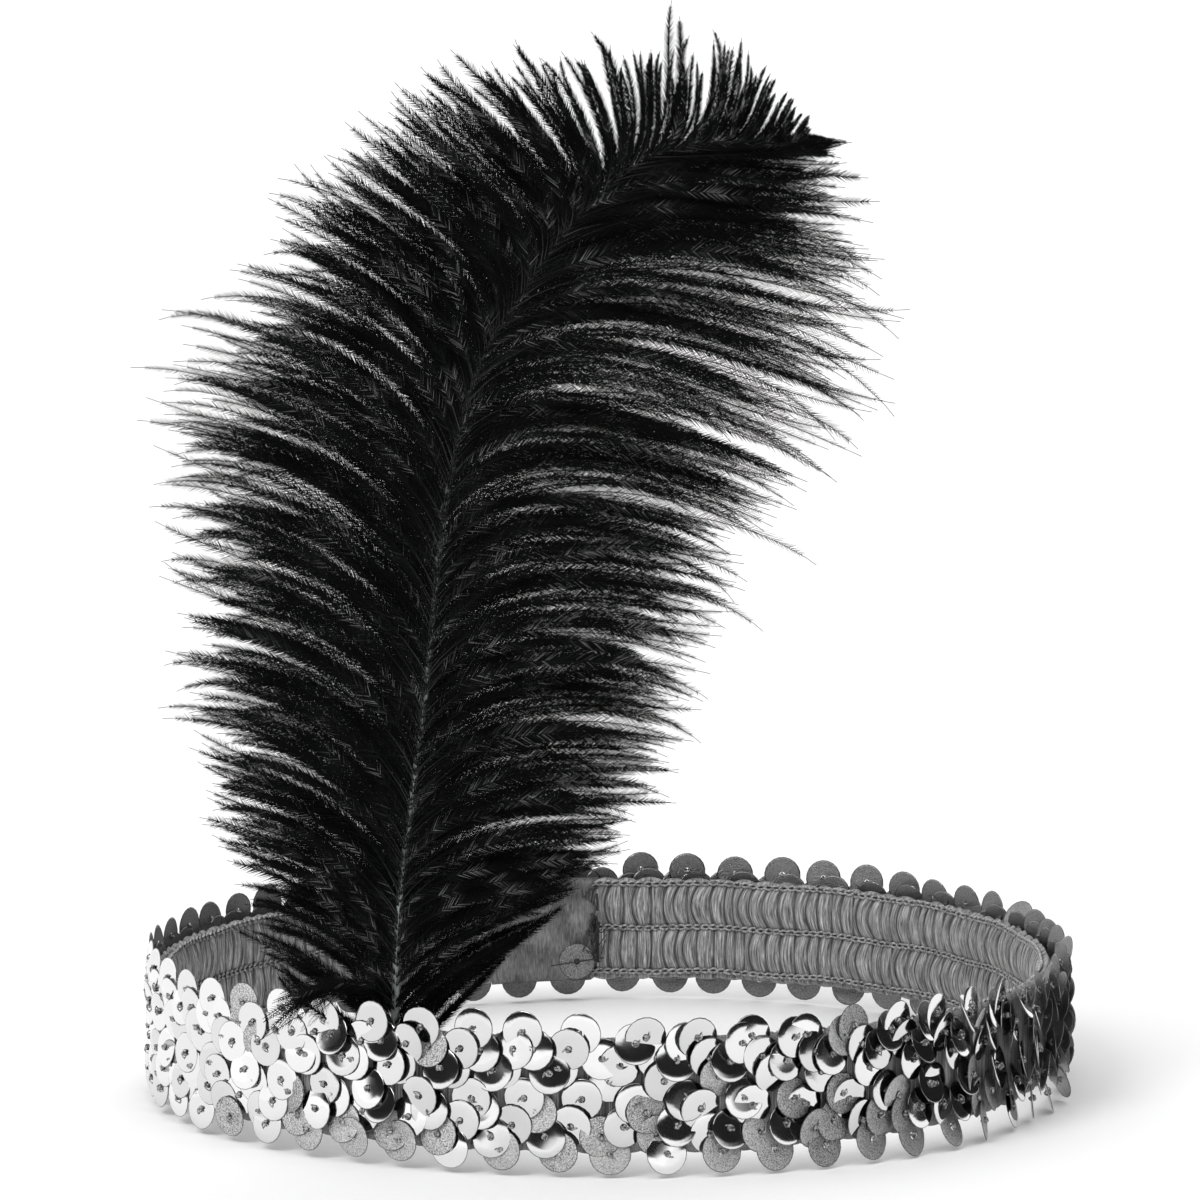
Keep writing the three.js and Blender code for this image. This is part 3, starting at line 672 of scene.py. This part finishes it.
def make_sequin_threads(name, discs):
    turn = np.linspace(0, KNOT_TURN, 8)
    out = KNOT_OUT + KNOT_TWIST * np.sin(2 * turn)
    knot = np.stack([KNOT_LOOP_RADIUS * np.cos(turn), KNOT_LOOP_RADIUS * np.sin(turn), out], axis=-1)
    template, faces = joined([
        tube_template(knot, KNOT_THREAD_RADIUS, 5),
        tube_template(STRAND_PATH, STRAND_RADIUS, 4),
        tube_template(BACK_PATH, BACK_RADIUS, 4),
    ])
    count = len(discs["centre"])
    spin = rng.normal(0, KNOT_SPIN, count)
    x = template[:, 0] * np.cos(spin)[:, None] - template[:, 1] * np.sin(spin)[:, None]
    y = template[:, 0] * np.sin(spin)[:, None] + template[:, 1] * np.cos(spin)[:, None]
    points = (
        discs["centre"][:, None]
        + discs["free"][:, None] * x[..., None]
        + discs["beside"][:, None] * y[..., None]
        + discs["normal"][:, None] * template[None, :, 2:]
    )
    make_piece(name, points, repeated(faces, len(template), count), GLINT_THREAD)


# The lapped end: flat cloth, rumpled a little, whose cut edge at the seam is frayed.
LAP_LENGTH = 17.0
LAP_MARGIN = 0.5
LAP_GAP = 0.3
LAP_THICKNESS = 0.7
LAP_STEPS = (44, 34)
# Threads at the cut edge: how many, how thick, where they lie along and up, and how they run.
SEAM_THREADS = (
    {"count": 11, "radius": 0.09, "aside": 0.8, "middle": 11.0, "spread": 4.5, "rise": 2.2, "sideways": 2.4},
    # The thick, close kind is a dark tangle: painted shade in the gap at the cut edge.
    {"count": 15, "radius": 0.2, "aside": 0.35, "middle": 11.5, "spread": 1.9, "rise": 3.4, "sideways": 0.5},
)


def make_lap():
    along, height = np.meshgrid(*(np.linspace(0, 1, steps) for steps in LAP_STEPS), indexing="ij")
    rumple = (
        0.16 * np.sin(along * 9 + 3 * height) * np.sin(height * 5 + 1)
        + 0.1 * np.sin(along * 23 - 6 * height)
        + 0.08 * np.sin(height * 31 + 5 * along)
    )
    ragged = 0.5 * np.sin(height * 17) + 0.35 * np.sin(height * 41 + 1)
    length = SEAM_LENGTH + along * LAP_LENGTH + ragged * (1 - along) ** 4 + 0.5
    up = BAND_BOTTOM + LAP_MARGIN + height * (BAND_HEIGHT - 2 * LAP_MARGIN)
    edge = np.minimum.reduce([along, 1 - along, height, 1 - height]) * LAP_STEPS[0]
    outer = -(BAND_THICKNESS + RIB_DEPTH + LAP_GAP)
    inner = outer - LAP_THICKNESS * np.clip(edge, 0.3, 1) + rumple * np.clip(edge / 2, 0, 1)
    sheets = np.stack([on_band(length, inner, up), on_band(length, outer, up)])
    count = along.size
    inside = grid_faces(*LAP_STEPS, False, False)
    outside = inside[:, ::-1] + count
    index = np.arange(count).reshape(LAP_STEPS)
    rim = np.concatenate([index[0, :-1], index[:-1, -1], index[-1, :0:-1], index[:0:-1, 0]])
    following = np.roll(rim, -1)
    walls = np.stack([rim, following, following + count, rim + count], axis=-1)
    faces = np.concatenate([inside, outside, walls])
    return make_piece("lapped_end", sheets, faces, WOVEN, replaces=("seam_lap",))


def make_seam_threads():
    """Broken threads at the cut edge, and a dense tangle of dark threads standing in for the shaded
    gap there: painted shade.
    """
    threads = []
    share = np.linspace(0, 1, 6)
    lap_face = BAND_THICKNESS + RIB_DEPTH + LAP_GAP + LAP_THICKNESS
    for kind in SEAM_THREADS:
        for _ in range(kind["count"]):
            start = SEAM_LENGTH + 0.3 + rng.normal(0, kind["aside"])
            rise = rng.normal(kind["middle"], kind["spread"])
            along = start + (share - 0.5) * kind["sideways"] * rng.choice([-1, 0.3])
            up = rise + (share - 0.5) * rng.normal(0, kind["rise"]) + 0.4 * np.sin(share * rng.uniform(2, 7))
            inward = lap_face + 0.15 + 0.5 * np.sin(share * math.pi)
            path = on_band(along, -inward, np.clip(up, BAND_BOTTOM + 1.0, BAND_TOP - 2.0))
            threads.append(tube_template(path, kind["radius"], 4))
    points, faces = joined(threads)
    make_piece("seam_threads_and_gap_shade", points, faces, DARK_THREAD)


# One loose sequin lies on the inside of the lapped end, held by a dark thread across it.
CAUGHT_SEQUIN = {"along": 3.4, "height": 6.6, "inward": 3.6, "grain": 0.8, "shade": 0.24}
CAUGHT_THREAD = {"half_length": 4.2, "half_rise": 0.5, "off": 0.3, "radius": 0.1}


def make_caught_sequin():
    template, faces, film_and_shade = disc_template()
    length = SEAM_LENGTH + CAUGHT_SEQUIN["along"]
    _, ahead, outward = band_frame(length)
    centre = on_band(length, -CAUGHT_SEQUIN["inward"], CAUGHT_SEQUIN["height"])
    e_along, e_in = (np.array([*direction, 0.0]) for direction in (ahead, -outward))
    e_up = np.cross(e_in, e_along)
    points = centre + template[:, :1] * e_along + template[:, 1:2] * e_up + template[:, 2:] * e_in
    grain = np.full(len(points), CAUGHT_SEQUIN["grain"])
    shade = np.clip(CAUGHT_SEQUIN["shade"] * film_and_shade, 0.1, 1)
    make_piece(
        "caught_sequin", points, faces, SILVER,
        values={"grain": grain, "shade": shade},
    )
    aim = CAUGHT_THREAD["half_length"] * e_along + CAUGHT_THREAD["half_rise"] * e_up
    path = centre + np.linspace(-1, 1, 7)[:, None] * aim + CAUGHT_THREAD["off"] * e_in
    thread, thread_faces = tube_template(path, CAUGHT_THREAD["radius"], 4)
    make_piece("caught_sequin_thread", thread, thread_faces, DARK_THREAD)


# The plume's drawing plane, as in the part: right and up from the quill's foot, and forward.
CLEARANCE = 0.3
QUILL_X = -31.0
QUILL_FOOT_HEIGHT = 4.0
QUILL_FOOT_RADIUS = 0.6
QUILL_TIP_RADIUS = 0.2
SHAFT_RISE = 134.5
PLUME_LEAN = math.radians(4)
TIP_FORWARD_CURL = 6.0
VANE_REACH = 50.0
VANE_SWEEP_BACK = 4.0
RIB_FACE = -(BAND_THICKNESS + RIB_DEPTH)
SHAFT_LINE = np.array([
    (0.0, 0.0), (0.002, 0.137), (0.007, 0.238), (0.019, 0.339), (0.032, 0.44), (0.047, 0.581), (0.062, 0.681),
    (0.086, 0.771), (0.126, 0.84), (0.186, 0.92), (0.255, 0.98), (0.341, 0.995), (0.412, 0.9845),
])


def smooth_line(points, steps=40):
    """A centripetal Catmull-Rom curve through the points."""
    ends = [2 * points[0] - points[1], *points, 2 * points[-1] - points[-2]]
    found = []
    t = np.linspace(0, 1, steps, endpoint=False)[:, None]
    for before, start, end, after in zip(ends, ends[1:], ends[2:], ends[3:]):
        d0, d1, d2 = (np.linalg.norm(b - a) ** 0.5 for a, b in ((before, start), (start, end), (end, after)))
        leave = ((start - before) / d0 - (end - before) / (d0 + d1) + (end - start) / d1) * d1
        arrive = ((end - start) / d1 - (after - start) / (d1 + d2) + (after - end) / d2) * d1
        c2 = -3 * start + 3 * end - 2 * leave - arrive
        c3 = 2 * start - 2 * end + leave + arrive
        found.append(start + leave * t + c2 * t**2 + c3 * t**3)
    return np.concatenate([*found, points[-1:]])


_shaft = smooth_line(SHAFT_LINE) * SHAFT_RISE
_shaft_lengths = np.concatenate([[0], np.cumsum(np.linalg.norm(np.diff(_shaft, axis=0), axis=1))])
_shaft_share = _shaft_lengths / _shaft_lengths[-1]
_shaft_ahead = np.gradient(_shaft, axis=0)
_shaft_ahead /= np.linalg.norm(_shaft_ahead, axis=1, keepdims=True)
_foot_out = RIB_FACE - CLEARANCE - QUILL_FOOT_RADIUS
QUILL_FOOT = on_band(length_at_x(QUILL_X, front=True), _foot_out, 0.0)


def shaft_at(share):
    """The shaft's point and direction in the drawing plane."""
    point = np.stack([np.interp(share, _shaft_share, _shaft[:, k]) for k in (0, 1)], axis=-1)
    ahead = np.stack([np.interp(share, _shaft_share, _shaft_ahead[:, k]) for k in (0, 1)], axis=-1)
    return point, ahead


def plume_points(drawn):
    """From right, up and forward in the drawing plane to the part's frame."""
    right, up, forward = drawn[..., 0], drawn[..., 1], drawn[..., 2]
    leaned = np.maximum(0, up - (RING_HEIGHT - QUILL_FOOT_HEIGHT)) * math.tan(PLUME_LEAN)
    curl = TIP_FORWARD_CURL * np.maximum(0, up / SHAFT_RISE) ** 3
    x = QUILL_FOOT[0] + right
    y = QUILL_FOOT[1] + leaned - curl - forward
    return np.stack([x, y, QUILL_FOOT_HEIGHT + up], axis=-1)


# Where the barbs end, from their roots, as shares of VANE_REACH, and the slope of their last stretch in
# degrees above level. along is a share of the shaft's length.
BARB_ENDS = (
    {"along": 0.045, "left": (0.34, 0.30, 30), "right": (0.34, 0.36, 30)},
    {"along": 0.08, "left": (0.42, 0.28, 22), "right": (0.41, 0.31, 24)},
    {"along": 0.105, "left": (0.46, 0.30, 15), "right": (0.49, 0.29, 15)},
    {"along": 0.14, "left": (0.50, 0.32, 8), "right": (0.56, 0.25, 5)},
    {"along": 0.17, "left": (0.54, 0.34, 5), "right": (0.63, 0.20, -2)},
    {"along": 0.22, "left": (0.61, 0.38, 2), "right": (0.70, 0.18, -12)},
    {"along": 0.29, "left": (0.67, 0.43, 2), "right": (0.75, 0.15, -18)},
    {"along": 0.37, "left": (0.70, 0.45, 0), "right": (0.81, 0.12, -22)},
    {"along": 0.45, "left": (0.75, 0.50, 0), "right": (0.88, 0.10, -25)},
    {"along": 0.53, "left": (0.68, 0.50, 4), "right": (0.97, 0.01, -27)},
    {"along": 0.60, "left": (0.52, 0.50, 14), "right": (1.03, -0.06, -27)},
    {"along": 0.65, "left": (0.48, 0.54, 32), "right": (1.05, -0.07, -24)},
    {"along": 0.70, "left": (0.40, 0.52, 42), "right": (1.02, -0.01, -18)},
    {"along": 0.74, "left": (0.34, 0.50, 46), "right": (0.96, 0.03, -12)},
    {"along": 0.77, "left": (0.26, 0.47, 52), "right": (0.80, 0.04, -6)},
    {"along": 0.81, "left": (0.11, 0.40, 66), "right": (0.67, 0.03, -3)},
    {"along": 0.86, "left": (-0.06, 0.37, 92), "right": (0.54, 0.01, 0)},
    {"along": 0.91, "left": (-0.12, 0.28, 98), "right": (0.39, 0.01, 0)},
    {"along": 0.94, "left": (-0.13, 0.18, 115), "right": (0.28, 0.01, 2)},
    {"along": 0.97, "left": (-0.10, 0.10, 130), "right": (0.16, 0.01, 5)},
    {"along": 0.99, "left": (-0.07, 0.05, 145), "right": (0.09, 0.0, 8)},
)
# The barbs grow in layers, front to rear: how many there are on a side, how far forward of the shaft's
# middle they start, their reach, and how many lie together in a clump.
BARB_LAYERS = (
    {"name": "front", "barbs": 175, "forward": 0.1, "reach": 0.97, "clump": (2, 5)},
    {"name": "middle", "barbs": 165, "forward": -0.9, "reach": 1.03, "clump": (2, 5)},
    {"name": "rear", "barbs": 175, "forward": -1.8, "reach": 0.92, "clump": (1, 2)},
)
BARB_STATIONS = 150
# How the roots are spread: each share of the barbs, counted from the foot, and where it is reached.
ROOT_SPREAD = ((0.0, 0.045), (0.055, 0.14), (0.85, 0.8), (1.0, 0.985))
ROOT_JITTER = 0.35
# How far beside the shaft's middle the roots lie at its foot, and from its hidden part on.
ROOT_ASIDE = (0.12, 0.0)
SHAFT_HIDDEN_ABOVE = 0.7
# The angle at which barbs leave the shaft, in degrees, at its foot and at its end.
LAUNCH_ANGLES = (36, 17)
LAUNCH_SPREAD = 0.05
# Reach differs from clump to clump, most barbs fall short of it by up to REACH_LOSS, and some go past it.
REACH_SPREAD = 0.04
REACH_LOSS = 0.32
LOSS_RARITY = 1.3
LONG_BARBS = ({"share": 0.12, "more": 0.1}, {"share": 0.03, "more": 0.12})
# The ends of a clump are drawn towards one point, which strays.
CLUMP_PULL = 0.12
PULL_RANGE = (0.2, 1.3)
CLUMP_STRAY = 1.2
# How much a clump and each barb differ in the last slope, in radians, and in how they puff forward.
SLOPE_SPREADS = (0.05, 0.2)
PUFF_SPREADS = (0.7, 1.1)
# A barb's handles as shares of its length, and how much it bends aside.
LEAVE_HANDLE = 0.36
ARRIVE_HANDLE = 0.34
BEND_SPREAD = 0.028
# Stems: their radii at the root and the tip, and how many stations apart their rings are.
STEM_RADII = (0.11, 0.05)
STEM_EVERY = 12
STEM_SIDES = 3
# Barbules are flat hairs on both sides, shorter on barbs that reach less far than FULL_FLUFF_REACH.
BARBULE_LENGTH = 2.6
BARB_FULLNESS = (0.8, 1.15)
BARBULE_LENGTHS = (0.75, 1.1)
FULL_FLUFF_REACH = 30.0
LEAST_FLUFF = 0.4
BARBULE_HALF_WIDTH = 0.06
BARBULE_ANGLE = math.radians(34)
# How much the barbules differ from barb to barb and one by one, in radians, and where they start.
ANGLE_SPREADS = (0.07, 0.06)
LIFT_SPREADS = (0.2, 0.12)
ROLL_SPREADS = (0.4, 0.2)
BASE_JITTER = 0.06
# How long the barbules are along a barb, as a share of BARBULE_LENGTH; the tip is bare.
BARBULE_REACH = ((0, 0.5), (0.12, 1), (0.7, 0.9), (0.88, 0.6), (0.96, 0.28), (1, 0.1))
BARE_TIP_FROM = 0.955
# How light the stems are, from the darkest to the lightest barb, and the share of a stem past which it
# is dark.
STEM_SHADES = (0.35, 0.85)
STEM_DARK_FROM = 0.45
# A painted sheen, lighter barbule colour in place of highlights, comes in long soft patches along a barb, and
# differs from barb to barb and barbule to barbule.
SHEEN_WAVES = (1.5, 4.0)
SHEEN_STRENGTHS = (0.3, 1)
SHEEN_FLICKER = (0.1, 1.5)
SHEEN_RARITY = 1.7


def barb_controls(side, layer):
    """Four control points in the drawing plane for each barb of one side and layer."""
    count = layer["barbs"]
    order = (np.arange(count) + rng.uniform(-ROOT_JITTER, ROOT_JITTER, count)) / (count - 1)
    along = np.interp(order, *zip(*ROOT_SPREAD))
    key = "left" if side < 0 else "right"
    rows = [row["along"] for row in BARB_ENDS]
    out, up, slope = (np.interp(along, rows, [row[key][k] for row in BARB_ENDS]) for k in range(3))
    root, ahead = shaft_at(along)
    aside = np.interp(along, [0, SHAFT_HIDDEN_ABOVE], ROOT_ASIDE)[:, None] * side
    root = root + np.stack([ahead[:, 1], -ahead[:, 0]], axis=-1) * aside

    sizes = rng.integers(*layer["clump"], size=count)
    clump = np.repeat(np.arange(count), sizes)[:count]
    clumps = clump.max() + 1
    reach = layer["reach"] + rng.normal(0, REACH_SPREAD, clumps)[clump]
    reach -= REACH_LOSS * rng.random(count) ** LOSS_RARITY
    for some in LONG_BARBS:
        reach += some["more"] * (rng.random(count) < some["share"])
    end = root + np.stack([side * out, up], axis=-1) * VANE_REACH * reach[:, None]
    members = np.bincount(clump, minlength=clumps)
    middle = np.stack([np.bincount(clump, end[:, k], clumps) / members for k in (0, 1)], axis=-1)
    middle += rng.normal(0, CLUMP_STRAY, middle.shape)
    pull = CLUMP_PULL * rng.uniform(*PULL_RANGE, (count, 1))
    end = end + (middle[clump] - end) * pull

    length = np.linalg.norm(end - root, axis=1)[:, None]
    launch = np.radians(np.interp(along, [0, 1], LAUNCH_ANGLES)) + rng.normal(0, LAUNCH_SPREAD, count)
    cos, sin = np.cos(launch), np.sin(launch) * -side
    leave = np.stack([ahead[:, 0] * cos - ahead[:, 1] * sin, ahead[:, 0] * sin + ahead[:, 1] * cos], axis=-1)
    slope = np.radians(slope) + rng.normal(0, SLOPE_SPREADS[0], clumps)[clump]
    slope += rng.normal(0, SLOPE_SPREADS[1], count)
    arrive = np.stack([side * np.cos(slope), np.sin(slope)], axis=-1)
    bend = rng.normal(0, BEND_SPREAD, (count, 2)) * length
    near_root = root + leave * length * LEAVE_HANDLE
    near_end = end - arrive * length * ARRIVE_HANDLE + bend
    flat = np.stack([root, near_root, near_end, end])

    puff = rng.normal(0, PUFF_SPREADS[1], count) + rng.normal(0, PUFF_SPREADS[0], clumps)[clump]
    quill = QUILL_FOOT_RADIUS + (QUILL_TIP_RADIUS - QUILL_FOOT_RADIUS) * along
    start = layer["forward"] + quill * np.sign(layer["forward"])
    forward = np.stack([
        start,
        start + 0.3 * puff,
        layer["forward"] + puff - 0.4 * VANE_SWEEP_BACK,
        layer["forward"] + 1.4 * puff - VANE_SWEEP_BACK,
    ])
    return np.concatenate([flat, forward[..., None]], axis=-1).swapaxes(0, 1)


def bezier(controls, stations):
    t = np.linspace(0, 1, stations)
    weights = np.stack([(1 - t) ** 3, 3 * t * (1 - t) ** 2, 3 * t**2 * (1 - t), t**3])
    return np.einsum("bkc,km->bmc", controls, weights)


def barb_mesh(paths):
    """Stems with flat barbules on both sides, for barbs given as paths, and how light each point is."""
    barbs, stations, _ = paths.shape
    share = np.linspace(0, 1, stations)
    ahead = unit(np.gradient(paths, axis=1))
    beside = unit(np.cross(ahead, [0.0, -1.0, 0.15]))
    over = np.cross(beside, ahead)

    picks = np.unique(np.append(np.arange(0, stations, STEM_EVERY), stations - 1))
    radius = np.interp(share[picks], [0, 1], STEM_RADII)
    corners = np.arange(STEM_SIDES) / STEM_SIDES * TURN
    ring = (
        np.cos(corners)[:, None] * beside[:, picks, None] + np.sin(corners)[:, None] * over[:, picks, None]
    ) * radius[None, :, None, None]
    stem = (paths[:, picks, None] + ring).reshape(-1, 3)
    quads = grid_faces(len(picks), STEM_SIDES, False, True)
    stem_faces = np.concatenate([quads[:, [0, 1, 2]], quads[:, [0, 2, 3]]])
    points = [stem]
    faces = [repeated(stem_faces, STEM_SIDES * len(picks), barbs)]
    fading = np.clip(1 - share[picks] / STEM_DARK_FROM, 0, 1)
    shade = [np.repeat((rng.uniform(*STEM_SHADES, (barbs, 1)) * fading).ravel(), STEM_SIDES)]

    reach = np.linalg.norm(np.diff(paths, axis=1), axis=-1).sum(axis=1)
    size = BARBULE_LENGTH * rng.uniform(*BARB_FULLNESS, barbs)
    size *= np.clip(reach / FULL_FLUFF_REACH, LEAST_FLUFF, 1)
    length = size[:, None] * np.interp(share, *zip(*BARBULE_REACH))
    length = length * rng.uniform(*BARBULE_LENGTHS, (barbs, stations))
    # Painted sheen on the barbules, in place of highlights.
    waves, phase = rng.uniform(*SHEEN_WAVES, (barbs, 1)), rng.uniform(0, TURN, (barbs, 1))
    sheen = (0.5 + 0.5 * np.sin(waves * share * TURN + phase)) * rng.uniform(*SHEEN_STRENGTHS, (barbs, 1))
    keep = np.broadcast_to(share < BARE_TIP_FROM, (barbs, stations))

    def varied(spreads):
        return rng.normal(0, spreads[0], (barbs, 1, 1)) + rng.normal(0, spreads[1], (barbs, stations, 1))

    for side in (-1, 1):
        angle = BARBULE_ANGLE + varied(ANGLE_SPREADS)
        lift = varied(LIFT_SPREADS)
        aim = unit(ahead * np.cos(angle) + side * beside * np.sin(angle) + over * lift)
        base = (paths + ahead * rng.uniform(-BASE_JITTER, BASE_JITTER, (barbs, stations, 1)))[keep]
        tip = base + (aim * length[..., None])[keep]
        roll = varied(ROLL_SPREADS)
        wide = unit(np.cross(aim, over) * np.cos(roll) + over * np.sin(roll))[keep] * BARBULE_HALF_WIDTH
        hair = np.stack([base + wide, base - wide, tip], axis=1)
        faces.append(repeated([[0, 1, 2]], 3, len(hair)) + sum(map(len, points)))
        points.append(hair.reshape(-1, 3))
        light = (sheen * rng.uniform(*SHEEN_FLICKER, (barbs, stations)))[keep] ** SHEEN_RARITY
        shade.append(np.repeat(np.clip(light, 0, 1), 3))
    return np.concatenate(points), np.concatenate(faces), np.concatenate(shade)


def make_barbs(name, paths, replaces=()):
    points, faces, shade = barb_mesh(paths)
    make_piece(
        name, points, faces, FEATHER, replaces=replaces, smooth=False,
        values={"shade": shade},
    )


# The tuft of loose barbs that hangs over the front of the band, left of the quill: control points by the
# distance left of the quill, outward of the band and up, and how far each may stray.
TUFT_BARBS = 18
TUFT_STATIONS = 50
TUFT_LINE = (
    {"left": 1.0, "outward": -3.5, "up": 20.5, "stray": 1.0},
    {"left": 3.5, "outward": 0.5, "up": 27.0, "stray": 1.0},
    {"left": 9.0, "outward": 5.0, "up": 23.5, "stray": 1.6},
    {"left": 15.0, "outward": 4.6, "up": 19.8, "stray": 1.9},
)


def make_tuft():
    controls = []
    for knot in TUFT_LINE:
        left, up = (knot[key] + knot["stray"] * rng.normal(0, 1, TUFT_BARBS) for key in ("left", "up"))
        controls.append(on_band(length_at_x(QUILL_X, front=True) - left, knot["outward"], up))
    make_barbs("front_tuft", bezier(np.stack(controls, axis=1), TUFT_STATIONS))


def make_plume():
    replaces = ("plume",)
    for side, word in ((-1, "left"), (1, "right")):
        for layer in BARB_LAYERS:
            paths = plume_points(bezier(barb_controls(side, layer), BARB_STATIONS))
            make_barbs(f"{word}_barbs_{layer['name']}", paths, replaces)
            replaces = ()


band = make_tape()
make_chain_stitches()
left_discs = make_sequins("left_sequins", LEFT_RUN, 1, "sequins_left")
right_discs = make_sequins("right_sequins", RIGHT_RUN, -1, "sequins_right")
make_sequin_threads("left_sequin_threads", left_discs)
make_sequin_threads("right_sequin_threads", right_discs)
make_plume()
make_tuft()
lap = make_lap()
make_seam_threads()
make_caught_sequin()
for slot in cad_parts["feather_quill"].material_slots:
    slot.material = HORN


# The floor, the studio and the camera
FLOOR_SIZE = 60.0
STUDIO_STRENGTH = 1.22
KEY_LIGHT = {"source": (-0.6, -0.7, 0.9), "angle": 24, "strength": 1.1}


def make_floor():
    material, nodes, links, shader = new_material("pale_floor")
    noise = noise_on(nodes, links, add_node(nodes, "ShaderNodeTexCoord").outputs["Object"], Scale=3.0)
    links.new(toned(nodes, links, noise, [(0.3, 0.87), (0.7, 0.89)]), shader.inputs["Base Color"])
    shader.inputs["Roughness"].default_value = 0.9
    shader.inputs["Specular IOR Level"].default_value = 0.0
    bpy.ops.mesh.primitive_plane_add(size=FLOOR_SIZE)
    floor = bpy.context.object
    floor.name = "floor"
    floor.data.materials.append(material)


def make_world():
    """A bright studio that is dark low down in front and on the right, for the sequins to mirror."""
    world = bpy.data.worlds.new("studio")
    bpy.context.scene.world = world
    world.use_nodes = True
    nodes, links = world.node_tree.nodes, world.node_tree.links
    place = add_node(nodes, "ShaderNodeTexCoord").outputs["Generated"]

    def past(direction, low, high):
        """0 where a place reaches up to low in a direction, and 1 from high."""
        dot = add_node(nodes, "ShaderNodeVectorMath", operation="DOT_PRODUCT")
        links.new(place, dot.inputs[0])
        dot.inputs[1].default_value = direction
        limits = {"From Min": low, "From Max": high}
        ramp = add_node(nodes, "ShaderNodeMapRange", interpolation_type="SMOOTHSTEP", **limits)
        links.new(dot.outputs["Value"], ramp.inputs["Value"])
        return ramp.outputs["Result"]

    right_side = past((1.0, 0.0, 0.0), 0.6, 0.8)
    below_cards = past((0.4, 0.0, -1.0), -0.42, -0.3)
    front_side = past((0.0, -1.0, 0.0), -0.2, 0.1)
    above_gap = past((0.0, 0.0, 1.0), 0.1, 0.13)
    below_top = past((0.0, 0.0, -1.0), -0.5, -0.42)
    right_dark = combined(nodes, links, right_side, below_cards)
    front_dark = combined(nodes, links, front_side, combined(nodes, links, above_gap, below_top))
    darkness = combined(nodes, links, right_dark, front_dark, operation="MAXIMUM")
    background = nodes["Background"]
    links.new(toned(nodes, links, darkness, [(0.0, 1.0), (1.0, 0.012)]), background.inputs["Color"])
    background.inputs["Strength"].default_value = STUDIO_STRENGTH


def make_sun(name, source, angle, strength):
    data = bpy.data.lights.new(name, "SUN")
    data.angle = math.radians(angle)
    data.energy = strength
    light = bpy.data.objects.new(name, data)
    bpy.context.scene.collection.objects.link(light)
    light.rotation_euler = Vector(source).to_track_quat("Z", "Y").to_euler()


def make_camera():
    data = bpy.data.cameras.new("camera")
    data.lens = CAMERA_LENS
    data.sensor_width = SENSOR_WIDTH
    data.clip_start, data.clip_end = 0.01, 100.0
    camera = bpy.data.objects.new("camera", data)
    bpy.context.scene.collection.objects.link(camera)
    camera.location = Vector((CAMERA_X + PLAN_SHIFT[0], PLAN_SHIFT[1] - CAMERA_BACK, CAMERA_HEIGHT)) * MM
    camera.rotation_euler = (math.pi / 2 - CAMERA_PITCH, 0, 0)
    bpy.context.scene.camera = camera


make_floor()
make_world()
make_sun("key", **KEY_LIGHT)
make_camera()
bpy.context.scene.view_settings.view_transform = "Standard"
